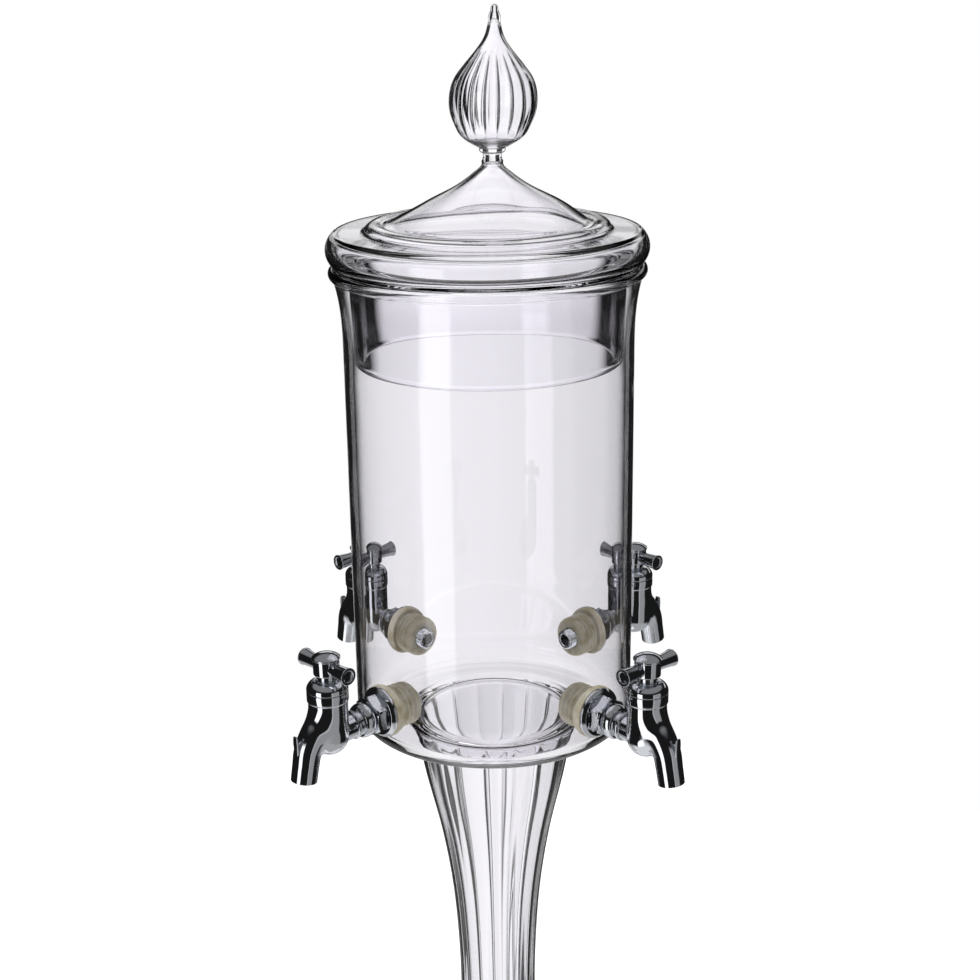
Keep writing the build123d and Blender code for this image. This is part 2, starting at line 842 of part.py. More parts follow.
# Handle cap: low dome with a brim, and the screw that holds the handle on the stem
with BuildPart() as handle_cap:
    cap_level = hub_top - tap_level
    with BuildSketch(Plane.XZ):
        with BuildLine():
            cap_line = Polyline(
                *around_barrel(
                    (
                        (0, cap_level + cap_height),
                        (0, cap_level - cap_screw_length),
                        (cap_screw_radius, cap_level - cap_screw_length),
                        (cap_screw_radius, cap_level),
                        (cap_radius - edge_break, cap_level),
                        (cap_radius, cap_level + edge_break),
                        (cap_radius, cap_level + cap_brim),
                    )
                )
            )
            Spline(cap_line @ 1, cap_line @ 0, tangents=((-0.9, 0.6), (-1, 0.05)))
        make_face()
    revolve(axis=barrel_axis)

# Every tap has its own copy of each piece
tap_pieces = {
    "tap_body": tap_body,
    "lock_nut": lock_nut,
    "flange_washer": flange_washer,
    "grommet": grommet,
    "valve_plug": valve_plug,
    "thrust_washer": thrust_washer,
    "stem_ring": stem_ring,
    "bonnet": bonnet,
    "handle": handle,
    "handle_cap": handle_cap,
}
for place, angle in tap_angles.items():
    for piece_name, piece in tap_pieces.items():
        with BuildPart() as placed:
            add(piece.part, rotation=(0, 0, angle))
        placed.part.label = f"{place}_{piece_name}"
        export_step(placed.part, f"parts/{placed.part.label}.step")
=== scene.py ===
"""Absinthe fountain: blown glass and chromed taps on the packed frame."""

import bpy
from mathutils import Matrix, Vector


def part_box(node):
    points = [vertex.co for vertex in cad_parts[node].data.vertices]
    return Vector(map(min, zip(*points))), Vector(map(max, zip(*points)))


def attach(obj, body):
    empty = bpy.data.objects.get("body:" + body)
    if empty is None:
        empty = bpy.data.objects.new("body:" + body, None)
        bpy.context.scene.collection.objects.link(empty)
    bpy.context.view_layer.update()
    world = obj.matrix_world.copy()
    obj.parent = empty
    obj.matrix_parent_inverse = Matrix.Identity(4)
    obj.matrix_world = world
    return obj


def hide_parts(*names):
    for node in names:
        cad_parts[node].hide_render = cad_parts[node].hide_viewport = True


bl_info = {
    "name": "Absinthe fountain",
    "version": (1, 0, 0),
    "blender": (4, 5, 0),
    "location": "View3D > Sidebar > Fountain",
    "description": "Builds the glass, the taps and the studio of an absinthe fountain",
    "category": "Object",
}

from math import cos, pi, radians, sin, tau
from types import SimpleNamespace

import bpy
import numpy as np
from bpy.props import FloatProperty, FloatVectorProperty, IntProperty, PointerProperty
from bpy.types import Operator, Panel, PropertyGroup
from mathutils import Matrix, Vector

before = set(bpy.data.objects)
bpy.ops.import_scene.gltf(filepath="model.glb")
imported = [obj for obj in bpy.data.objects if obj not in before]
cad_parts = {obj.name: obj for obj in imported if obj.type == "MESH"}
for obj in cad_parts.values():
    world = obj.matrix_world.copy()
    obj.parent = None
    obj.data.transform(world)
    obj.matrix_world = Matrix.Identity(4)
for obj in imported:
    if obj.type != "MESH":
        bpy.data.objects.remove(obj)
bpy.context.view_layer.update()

TAP_ANGLES = {"front_left": 225, "front_right": 315, "rear_right": 45, "rear_left": 135}


def corners_mm(node):
    """Lowest and highest corner of a CAD node in millimetres."""
    low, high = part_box(node)
    return np.array(low) * 1000, np.array(high) * 1000


_, FOOT_HIGH = corners_mm("foot")
VESSEL_LOW, VESSEL_HIGH = corners_mm("glass_vessel")
LID_LOW, LID_HIGH = corners_mm("lid")
_, FINIAL_HIGH = corners_mm("finial")


def number(name, description, default, **kind):
    """Number property, with its limits, unit or subtype."""
    return FloatProperty(name=name, description=description, default=default, **kind)


def length(name, description, millimetres):
    """Length property whose default is given in millimetres."""
    return number(name, description, millimetres / 1000, min=0, precision=4, unit="LENGTH")


def angular(name, description, degrees):
    """Angle property whose default is given in degrees."""
    return number(name, description, radians(degrees), subtype="ANGLE")


def shade(name, description, colour):
    """Colour property whose default is an sRGB hex value."""
    return FloatVectorProperty(
        name=name, description=description, default=linear(colour), size=4, min=0, max=1, subtype="COLOR"
    )


def linear(colour):
    """Linear red, green, blue and alpha of an sRGB hex value."""
    parts = np.array([int(colour[at : at + 2], 16) for at in (1, 3, 5)]) / 255
    parts = np.where(parts <= 0.04045, parts / 12.92, ((parts + 0.055) / 1.055) ** 2.4)
    return (*parts.tolist(), 1.0)


class GlassSizes(PropertyGroup):
    """Sizes of the blown glass"""

    foot_radius: length("Foot radius", "Rim of the foot", FOOT_HIGH[0])
    foot_height: length("Foot height", "Top of the foot under the stem", FOOT_HIGH[2])
    foot_edge: length("Foot edge", "Thickness of the foot's rim", 9)
    foot_ring: length("Foot ring", "Width of the flat ring that stands on the table", 12)
    foot_draw: length("Foot draw", "How far the foot's underside is drawn up", 4)
    stem_base: length("Stem base", "Radius over the ribs at the foot", 31)
    stem_waist: length("Stem waist", "Radius over the ribs at the narrowest place", 18.8)
    stem_top: length("Stem top", "Radius over the ribs under the vessel", 39)
    stem_wall: length("Stem wall", "Glass between the stem's ribs and its hollow", 1.1)
    stem_root: length("Stem root", "Height of the round from the foot into the stem", 6)
    stem_head: length("Stem head", "Height of the round from the stem into the floor", 4)
    floor_level: length("Floor level", "Underside of the vessel's floor", VESSEL_LOW[2])
    floor_thickness: length("Floor thickness", "Glass under the water", 3.6)
    vessel_radius: length("Vessel radius", "Outside of the straight wall", 65)
    vessel_wall: length("Vessel wall", "Thickness of the straight wall", 2.2)
    corner_radius: length("Corner radius", "Round between the wall and the floor", 8)
    lip_level: length("Lip level", "Top of the vessel's ground lip", VESSEL_HIGH[2] - 2.2)
    lip_height: length("Lip height", "Height of the rolled lip", 4.8)
    lip_overhang: length("Lip overhang", "How far the rolled lip stands out", 1.9)
    flare_height: length("Flare height", "Height over which the wall opens out", 40)
    flare_out: length("Flare", "How far the wall opens out below the lip", 3.4)
    lid_wall: length("Lid wall", "Thickness of the lid's flange", 3)
    roof_wall: length("Roof wall", "Thickness of the lid's roof at the neck", 1.7)
    lid_top: length("Lid top", "Waist of the neck under the finial", LID_HIGH[2])
    flange_radius: length("Flange radius", "Widest place of the lid", LID_HIGH[0])
    flange_height: length("Flange height", "Top of the flange above the lip", 15.2)
    flange_round: length("Flange round", "How far the flange rolls over onto its flat top", 4)
    seat_margin: length("Seat margin", "Lip's flat top past the lid's seat", 1.5)
    seat_width: length("Seat width", "Part of the lid that rests on the lip", 3)
    skirt_radius: length("Skirt radius", "Outside of the lid's skirt", 60.3)
    skirt_wall: length("Skirt wall", "Thickness of the lid's skirt", 4.2)
    skirt_end: length("Skirt end", "Lowest edge of the skirt", LID_LOW[2])
    ring_radius: length("Ring radius", "Outer foot of the raised ring on the lid", 54.5)
    ring_width: length("Ring width", "Raised ring on the lid", 8)
    ring_height: length("Ring height", "Raised ring above the flange", 3.4)
    ring_rise: length("Ring rise", "Raised ring above its inner crease", 0.8)
    roof_radius: length("Roof radius", "Where the roof meets the raised ring", 43.5)
    roof_edge: length("Roof edge", "Edge of the roof above the flange", 3.7)
    neck_radius: length("Neck radius", "Waist between the lid and its finial", 4.1)
    bead_radius: length("Bead radius", "Ring of the neck under the finial", 5.9)
    bead_height: length("Bead height", "Neck from its waist to the top of its ring", 3.4)
    bulb_foot: length("Bulb foot", "Radius of the finial on its neck", 6.5)
    bulb_radius: length("Bulb radius", "Widest place of the finial over its ribs", 19)
    bulb_height: length("Bulb height", "Ribbed part of the finial", 50)
    bulb_wall: length("Bulb wall", "Thickness of the hollow finial's wall", 0.8)
    nib_radius: length("Nib radius", "Foot of the finial's drawn-out tip", 3.1)
    tip_level: length("Tip level", "Top of the finial", FINIAL_HIGH[2])
    neck_offset: length("Neck offset", "How far the hand-set finial stands off the axis at its neck", 2.7)
    tip_offset: length("Tip offset", "How far the hand-set finial stands off the axis at its tip", 4.5)


class RibSettings(PropertyGroup):
    """Ribs of the stem and the finial"""

    stem_count: IntProperty(name="Stem ribs", description="Ribs round the stem", default=18, min=4)
    stem_depth: number("Stem depth", "Depth of the stem's grooves as a share of the radius", 0.017)
    stem_narrow: number("Stem narrowness", "Power that narrows the stem's grooves", 2.5)
    stem_turn: angular("Stem turn", "Turn of the stem's ribs", -4.4)
    finial_count: IntProperty(name="Finial ribs", description="Ribs round the finial", default=20, min=4)
    finial_depth: number("Finial depth", "Depth of the finial's grooves as a share of the radius", 0.033)
    finial_narrow: number("Finial narrowness", "Power that narrows the finial's grooves", 4.4)


class TapSizes(PropertyGroup):
    """Sizes of one tap, drawn along +X"""

    level: length("Tap level", "Height of the shank's axis", 267)
    reach: length("Tap reach", "Distance of the barrel's axis from the vessel's axis", 98)
    fit: length("Fit", "Clearance between pieces that are put together", 0.05)
    hole_radius: length("Hole radius", "Hole through the glass", 9.3)
    shank_radius: length("Shank radius", "Threaded shank through the glass", 4.85)
    shank_end: length("Shank end", "Inner end of the shank, from the vessel's axis", 48)
    thread_pitch: length("Thread pitch", "Distance between the shank's threads", 1)
    thread_depth: length("Thread depth", "Depth of the shank's thread", 0.45)
    thread_length: length("Thread length", "Threaded end of the shank that shows", 9)
    passage_radius: length("Passage radius", "Waterway through the shank", 2.9)
    passage_depth: length("Passage depth", "How far the waterway is drawn", 13)
    sleeve_end: length("Sleeve end", "Inner end of the grommet, from the vessel's axis", 52)
    sleeve_radius: length("Sleeve radius", "Grommet inside the vessel", 9.9)
    sleeve_tip: length("Sleeve tip", "Flat end of the grommet's sleeve", 8.4)
    ridge_pitch: length("Ridge pitch", "Distance between the sleeve's ridges", 2.6)
    ridge_height: length("Ridge height", "Ridges of the sleeve", 0.45)
    head_radius: length("Head radius", "Grommet outside the vessel", 12)
    head_face: length("Head face", "Outer face of the grommet, from the vessel's axis", 68.4)
    washer_face: length("Washer face", "Outer face of the flange washer", 71.2)
    washer_radius: length("Washer radius", "Flange washer", 11.6)
    washer_slope: length("Washer slope", "Sloping edge of the flange washer", 1.4)
    nut_face: length("Nut face", "Outer face of the lock nut", 77)
    nut_width: length("Nut width", "Lock nut across its flats", 16.5)
    collar_face: length("Collar face", "Outer face of the inlet's collar", 82.3)
    collar_radius: length("Collar radius", "Widest place of the inlet's collar", 7.9)
    collar_bulge: length("Collar bulge", "How far the collar swells", 0.9)
    inlet_radius: length("Inlet radius", "Neck of the inlet between collar and bead", 5.6)
    inlet_sag: length("Inlet sag", "How far the inlet sinks from the nut to the barrel", 1.2)
    cone_radius: length("Cone radius", "Inlet's cone at the barrel's axis", 8.2)
    barrel_radius: length("Barrel radius", "Upright barrel", 8.7)
    band_radius: length("Band radius", "Raised band at the barrel's top", 9.2)
    belly: length("Belly", "Middle of the barrel's round end below the shank's axis", 1.5)
    barrel_top: length("Barrel top", "Top of the barrel above the shank's axis", 20)
    bonnet_height: length("Bonnet height", "Bonnet above the barrel", 5.2)
    bonnet_neck: length("Bonnet neck", "Top of the bonnet's shoulder", 4.5)
    stem_bore: length("Stem bore", "Bonnet's bore for the plug's stem", 3.05)
    hub_foot: length("Hub foot", "Underside of the handle above the shank's axis", 25.6)
    hub_neck: length("Hub neck", "Height of the neck under the handle's hub", 2.2)
    hub_neck_radius: length("Hub neck radius", "Radius of the neck under the hub", 4.3)
    hub_radius: length("Hub radius", "Hub of the handle", 5.8)
    hub_height: length("Hub height", "Hub of the handle above its neck", 7)
    bar_height: length("Bar height", "Bar above the underside of the hub", 3.4)
    bar_reach: length("Bar reach", "Half the width of the T handle", 15.6)
    bar_radius: length("Bar radius", "Arms of the handle at the hub", 3.0)
    bar_end_radius: length("Bar end radius", "Discs at the ends of the arms", 3.9)
    cap_radius: length("Cap radius", "Cap on top of the handle", 6.3)
    cap_brim: length("Cap brim", "Upright edge of the cap", 0.9)
    cap_height: length("Cap height", "Dome of the cap", 3)
    mouth_radius: length("Mouth radius", "Outside of the spout's mouth", 5.84)
    mouth_bore: length("Mouth bore", "Inside of the spout's mouth", 4.3)


class FinishSettings(PropertyGroup):
    """Colours of the finishes"""

    glass: shade("Glass", "Colour of light that has passed through the glass", "#FDFCFF")
    chrome: shade("Chrome", "Colour of the chrome plate", "#D6D9DE")
    silicone: shade("Silicone", "Body colour of the grommets", "#B6B1A4")
    silicone_deep: shade("Silicone, cloudy", "Colour of the grommets' cloudy patches", "#948B71")
    brass: shade("Brass", "Turned brass of the plugs", "#C8A254")
    plastic: shade("Plastic", "White plastic of the thrust washers", "#E6E4DC")
    rubber: shade("Rubber", "Black rubber of the stem rings", "#18191B")
    board: shade("Board", "White board of the table", "#EEEEEC")


class StudioSettings(PropertyGroup):
    """Camera and light"""

    camera_distance: length("Camera distance", "From the vessel's axis, along the floor", 738)
    camera_height: length("Camera height", "Above the floor", 597)
    camera_azimuth: angular("Camera azimuth", "Turn of the camera round the fountain", 2.6)
    camera_pitch: angular("Camera pitch", "How far the camera looks down", 18.1)
    camera_pan: angular("Camera pan", "Turn of the camera to its left", 0.034)
    camera_roll: angular("Camera roll", "Tilt of the picture", -0.85)
    lens: number("Lens", "Focal length in millimetres on a 36 mm sensor", 62.1)
    floor_radius: length("Floor radius", "Pale round table under the fountain", 480)
    floor_glow: number("Floor glow", "What the table adds to its own light for the camera", 0.36)
    soft_light: number("Soft light", "Strength of the surround on matt surfaces", 0.75)
    key_power: number("Key power", "Softbox on the left, in front", 9, unit="POWER")
    fill_power: number("Fill power", "Softbox on the right, behind", 5, unit="POWER")


SETTINGS = {
    "fountain_glass": GlassSizes,
    "fountain_ribs": RibSettings,
    "fountain_taps": TapSizes,
    "fountain_finish": FinishSettings,
    "fountain_studio": StudioSettings,
}


def sizes(group):
    """All lengths of a group of settings, in millimetres, by name."""
    return SimpleNamespace(**{name: getattr(group, name) * 1000 for name in group.__annotations__})


# Lines: rows of points, and steps that lead on from the last point of a line


def smooth_step(low, high, value):
    """0 below low, 1 above high, and 3t^2 - 2t^3 between them."""
    share = np.clip((value - low) / (high - low), 0, 1)
    return share * share * (3 - 2 * share)


def curve(stations, values, at, first=None, last=None):
    """Smooth curve through values at rising stations: cubic pieces that share the mean slope at each
    station."""
    stations = np.asarray(stations, float)
    values = np.asarray(values, float)
    slopes = np.gradient(values, stations)
    slopes[0] = slopes[0] if first is None else first
    slopes[-1] = slopes[-1] if last is None else last
    index = np.clip(np.searchsorted(stations, at) - 1, 0, len(stations) - 2)
    span = stations[index + 1] - stations[index]
    share = (at - stations[index]) / span
    rest = 1 - share
    start = values[index] * (1 + 2 * share) * rest**2 + slopes[index] * span * share * rest**2
    end = values[index + 1] * share**2 * (3 - 2 * share) - slopes[index + 1] * span * share**2 * rest
    return start + end


def even_rows(stations, count):
    """Rows spaced evenly on a smooth curve through stations, each a row of values."""
    stations = np.array(stations, float)
    index = np.arange(len(stations))
    at = np.linspace(0, len(stations) - 1, count)
    return np.column_stack([curve(index, values, at) for values in stations.T])


def straight(end, count):
    """Step straight to a point."""
    return lambda start: np.linspace(start, end, count)


def arc(middle, end, count=12):
    """Step along the circle that passes through the last point, a middle and an end."""

    def step(start):
        circle = np.array((start, middle, end), float)
        squares = (circle**2).sum(axis=1)
        centre = np.linalg.solve(2 * (circle[1:] - circle[0]), squares[1:] - squares[0])
        first, via, last = np.arctan2(*(circle - centre).T[::-1])
        turn = (last - first) % tau
        if (via - first) % tau > turn:
            turn -= tau
        angle = first + turn * np.linspace(0, 1, count)
        return centre + np.hypot(*(circle[0] - centre)) * np.column_stack((np.cos(angle), np.sin(angle)))

    return step


def quarter(centre, end, count=12):
    """Step along a quarter of a circle: from its centre, its middle is the sum of both ends' offsets over
    the square root of two."""

    def step(start):
        middle = centre + (np.array((start, end)) - centre).sum(axis=0) / np.sqrt(2)
        return arc(middle, end, count)(start)

    return step


def bend(end, leave, arrive, count):
    """Step along a cubic curve that leaves the last point and arrives at the end along directions."""
    return lambda start: through((start, end), count, leave, arrive)


def trace(*parts):
    """One line from rows of points and steps that follow each other, without the points that they share."""
    line = np.empty((0, 2))
    for part in parts:
        line = np.concatenate((line, part(line[-1]) if callable(part) else part))
    apart = np.hypot(*np.diff(line, axis=0).T) > 1e-6
    return line[np.concatenate(([True], apart))]


def distances(line):
    """Distance along a line from its start to each point."""
    return np.concatenate(([0], np.cumsum(np.hypot(*np.diff(line, axis=0).T))))


def through(points, count, leave=None, arrive=None):
    """Smooth curve through points, spaced by their distances, with given directions at its ends."""
    points = np.array(points, float)
    way = distances(points)
    at = np.linspace(0, way[-1], count)
    first = (None, None) if leave is None else np.array(leave) / np.hypot(*leave)
    last = (None, None) if arrive is None else np.array(arrive) / np.hypot(*arrive)
    return np.column_stack([curve(way, points[:, side], at, first[side], last[side]) for side in (0, 1)])


def rounded(corners, radius, loop=False):
    """Outline through corners, each replaced by a parabola that touches both sides where an arc of the
    radius would, but no further out than 0.45 of the shorter side."""
    steps, furthest = 5, 0.45
    corners = np.array(corners, float)
    before = np.roll(corners, 1, axis=0) - corners
    after = np.roll(corners, -1, axis=0) - corners
    before_length = np.hypot(*before.T)
    after_length = np.hypot(*after.T)
    before /= before_length[:, None]
    after /= after_length[:, None]
    half = np.arccos(np.clip((before * after).sum(axis=1), -0.999, 0.999)) / 2
    cut = np.minimum(radius / np.tan(half), furthest * np.minimum(before_length, after_length))[:, None]
    share = np.linspace(0, 1, steps)[None, :, None]
    first = (corners + before * cut)[:, None]
    last = (corners + after * cut)[:, None]
    points = first * (1 - share) ** 2 + corners[:, None] * 2 * share * (1 - share) + last * share**2
    if loop:
        return points.reshape(-1, 2)
    return np.concatenate((corners[:1], points[1:-1].reshape(-1, 2), corners[-1:]))


def inward(line, thickness):
    """Line moved to its left by a thickness, square to its run: the inside of an outline that rises."""
    run = np.gradient(line, axis=0)
    run /= np.hypot(*run.T)[:, None]
    return line + thickness * np.column_stack((-run[:, 1], run[:, 0]))


def softened(line, step, reach):
    """Line from axis to axis, with even steps, whose corners are melted by a bell-shaped mean over its
    reach. The mean is taken on fine steps, with the line mirrored past the axis."""
    fine = 0.1
    way = distances(line)
    at = np.linspace(0, way[-1], int(way[-1] / fine))
    points = np.column_stack([np.interp(at, way, line[:, side]) for side in (0, 1)])
    width = int(reach / fine) * 3
    mirror = np.array([-1, 1])
    padded = np.concatenate((points[width:0:-1] * mirror, points, points[-2 : -width - 2 : -1] * mirror))
    bell = np.exp(-0.5 * (np.arange(-width, width + 1) / (reach / fine)) ** 2)
    bell /= bell.sum()
    melted = np.column_stack([np.convolve(padded[:, side], bell, mode="valid") for side in (0, 1)])
    kept = np.linspace(0, len(at) - 1, int(way[-1] / step)).round().astype(int)
    melted = melted[kept]
    melted[[0, -1], 0] = 0
    return melted


# Surfaces: grids of points in millimetres, and their faces


def round_angles(columns):
    """Even angles round a circle."""
    return np.arange(columns) * tau / columns


def lathe(profile, columns, axis=0, at=(0, 0, 0)):
    """Grid of a profile (radius, distance along the axis) turned round an axis through a point: 0 for
    Z, 1 for X, 2 for Y."""
    angle = round_angles(columns)
    radius = profile[:, :1]
    along = np.broadcast_to(profile[:, 1:], (len(profile), columns))
    points = np.stack((radius * np.cos(angle), radius * np.sin(angle), along), axis=-1)
    return np.roll(points, axis, axis=-1) + np.array(at)


def ribbed(profile, columns, ribs, depth, narrow, turn=0):
    """Grid of a profile turned round Z, whose radius dips between ribs: radius times one minus depth
    times a curve that is 0 on each rib and 1 in its narrow groove, one minus the size of a cosine to
    the power narrow. Columns crowd together at the grooves. depth has one value for each point of the
    profile."""
    crowding = 0.8
    angle = round_angles(columns)
    crowded = angle + np.where(depth > 0, crowding, 0)[:, None] * np.sin(ribs * (angle - turn)) / ribs
    groove = (1 - np.abs(np.cos(ribs * (crowded - turn) / 2))) ** narrow
    radius = profile[:, :1] * (1 - depth[:, None] * groove)
    along = np.broadcast_to(profile[:, 1:], radius.shape)
    return np.stack((radius * np.cos(crowded), radius * np.sin(crowded), along), axis=-1)


def skin(points, loop=False, gone=None):
    """Surface of a grid of points, closed round its columns: quads, with a fan where an end row is one
    point. A loop joins the last row to the first. gone marks the quads to leave out."""
    if loop:
        points = np.concatenate((points, points[:1]))
    rows, columns, _ = points.shape
    index = np.arange(rows * columns).reshape(rows, columns)
    if loop:
        index[-1] = index[0]
    for end in (0, -1):
        if np.ptp(points[end], axis=0).max() < 1e-9:
            index[end] = index[end, 0]
    after = np.roll(index, -1, axis=1)
    faces = np.stack((index[:-1], after[:-1], after[1:], index[1:]), axis=-1)
    if gone is not None:
        faces = faces[~gone]
    faces = faces.reshape(-1, 4)
    point_first = faces[:, 0] == faces[:, 1]
    point_last = faces[:, 2] == faces[:, 3]
    faces[point_first, 1:3] = faces[point_first, 2:4]
    faces[point_first | point_last, 3] = -1
    return points.reshape(-1, 3), faces


def merged(*surfaces):
    """Several surfaces as one."""
    offsets = np.cumsum([0] + [len(points) for points, _ in surfaces])
    faces = [np.where(face < 0, face, face + offset) for (_, face), offset in zip(surfaces, offsets)]
    return np.concatenate([points for points, _ in surfaces]), np.concatenate(faces)


def turned(surface, degrees):
    """A surface turned round the vessel's axis."""
    points, faces = surface
    angle = radians(degrees)
    turn = np.array([[cos(angle), sin(angle), 0], [-sin(angle), cos(angle), 0], [0, 0, 1]])
    return points @ turn, faces


def make_object(name, surface, material, sharp=35):
    """Object with a surface given in millimetres, smooth but for edges that turn by more than sharp
    degrees."""
    points, faces = surface
    used, compact = np.unique(faces[faces >= 0], return_inverse=True)
    points = points[used] / 1000
    totals = (faces >= 0).sum(axis=1)
    mesh = bpy.data.meshes.new(name)
    mesh.vertices.add(len(points))
    mesh.vertices.foreach_set("co", points.ravel())
    mesh.loops.add(len(compact))
    mesh.loops.foreach_set("vertex_index", compact.ravel())
    mesh.polygons.add(len(totals))
    mesh.polygons.foreach_set("loop_start", np.cumsum(totals) - totals)
    mesh.polygons.foreach_set("use_smooth", np.ones(len(totals), bool))
    mesh.update(calc_edges=True)
    mesh.validate()
    mesh.set_sharp_from_angle(angle=radians(sharp))
    mesh.materials.append(material)
    new = bpy.data.objects.new(name, mesh)
    bpy.context.scene.collection.objects.link(new)
    return new


def make_piece(name, surface, material, body, nodes, sharp=35):
    """Piece of the fountain, set on its body in place of CAD nodes."""
    piece = make_object(name, surface, material, sharp)
    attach(piece, body)
    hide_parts(*nodes)
    return piece


def make_tap_pieces(*pieces):
    """Like pieces on all four taps, each by its name, the CAD node that it stands for, its surface,
    material and slot, which is not used, the angle from which its edges are sharp and whether it turns with
    the valve."""
    for place, degrees in TAP_ANGLES.items():
        for name, node, surface, material, slot, sharp, turns in pieces:
            body = f"{place}_valve" if turns else "fountain"
            nodes = (f"{place}_{node}",)
            make_piece(f"{place}_{name}", turned(surface, degrees), material, body, nodes, sharp)


# Glass

BODY_COLUMNS = 240
LID_COLUMNS = 200
HOLE_CELLS = 6  # cells of the wall's grid from the middle of a tap hole to its rim
HOLE_SPARE = 3  # rows above and below the hole over which the grid becomes even again
HOLE_REACH = 12  # millimetres from the middle of the hole to where it is even
UPPER_ROWS = 26  # rows of the wall above that


def stem_radius(glass, level):
    """Radius over the stem's ribs at a level: a trumpet that narrows to a waist and opens to the vessel."""
    share = (level - glass.foot_height) / (glass.floor_level - glass.foot_height)
    base = glass.stem_base - glass.stem_waist
    top = glass.stem_top - glass.stem_waist
    stations = (0, 0.09, 0.2, 0.32, 0.48, 0.61, 0.73, 0.88, 1)
    flare = (base, base * 0.43, base * 0.1, 0, top * 0.04, top * 0.16, top * 0.37, top * 0.75, top)
    return glass.stem_waist + curve(stations, flare, share)


def wall_rows(radius, low, high, taps):
    """Straight wall from low to high, with rows that are even across the tap holes, spare ones close
    above and below, and even ones up to the top."""
    across = np.linspace(-taps.hole_radius, taps.hole_radius, 2 * HOLE_CELLS + 1)
    above = np.linspace(taps.hole_radius, HOLE_REACH, HOLE_SPARE + 1)[1:]
    levels = np.concatenate((-above[::-1], across, above)) + taps.level
    levels = np.concatenate(([low], levels, np.linspace(levels[-1], high, UPPER_ROWS)[1:]))
    return np.column_stack((np.full(len(levels), radius), levels))


def body_profile(glass, taps):
    """Profile from the middle of the foot's underside, over the rim, up the stem, out under the floor,
    up the wall, over the lip and down the inside to the middle of the floor. With it go the numbers of
    the outer and the inner wall's points, each from the bottom up."""
    radius, corner = glass.vessel_radius, glass.corner_radius
    floor, lip = glass.floor_level, glass.lip_level
    ring = glass.foot_radius - glass.foot_edge / 2
    hollow = ring - glass.foot_ring
    boss = glass.stem_base + 1
    levels = np.linspace(glass.foot_height + glass.stem_root, floor - glass.stem_head, 72)
    stem = np.column_stack((stem_radius(glass, levels), levels))
    lip_start = lip - glass.lip_height
    flare_start = lip_start - glass.flare_height
    wall_top = radius + glass.flare_out
    lip_inner = wall_top - glass.vessel_wall
    inner = radius - glass.vessel_wall
    inner_floor = floor + glass.floor_thickness
    inner_corner = corner - glass.vessel_wall
    corner_top = inner_floor + inner_corner
    below = trace(
        [(0, glass.foot_draw)],
        arc((hollow / 2, glass.foot_draw * 0.75), (hollow, 0), 14),
        straight((ring, 0), 4),
        arc((glass.foot_radius, glass.foot_edge / 2), (ring, glass.foot_edge)),
        bend((boss, glass.foot_height), (-1, 0), (-1, 0.5), 20),
        bend(stem[0], (-1, 0.5), stem[1] - stem[0], 8),
        stem,
        bend((stem[-1, 0] + 5, floor), stem[-1] - stem[-2], (1, 0), 8),
        straight((radius - corner, floor), 6),
        quarter((radius - corner, floor + corner), (radius, floor + corner), 14),
    )
    outside = wall_rows(radius, floor + corner, flare_start, taps)
    mouth = trace(
        [(radius, flare_start)],
        bend((wall_top, lip_start), (0, 1), (0.3, 1), 18),
        arc((wall_top + glass.lip_overhang, lip - glass.lip_height * 0.42), (wall_top, lip), 16),
        rounded(((wall_top, lip), (lip_inner, lip), (lip_inner - 0.1, lip - 1.5)), 0.6),
        bend((inner, flare_start), (-0.2, -1), (0, -1), 22),
    )
    inside = wall_rows(inner, corner_top, flare_start, taps)[::-1]
    bottom = trace(
        [(inner, corner_top)],
        quarter((inner - inner_corner, corner_top), (inner - inner_corner, inner_floor)),
        straight((0, inner_floor), 10),
    )
    profile = np.concatenate((below, outside[1:-1], mouth, inside[1:-1], bottom))
    outer_first = len(below) - 1
    inner_first = outer_first + len(outside) - 1 + len(mouth) - 1
    outer_points = outer_first + np.arange(len(outside))
    inner_points = inner_first + np.arange(len(inside))[::-1]
    return profile, (outer_points, inner_points)


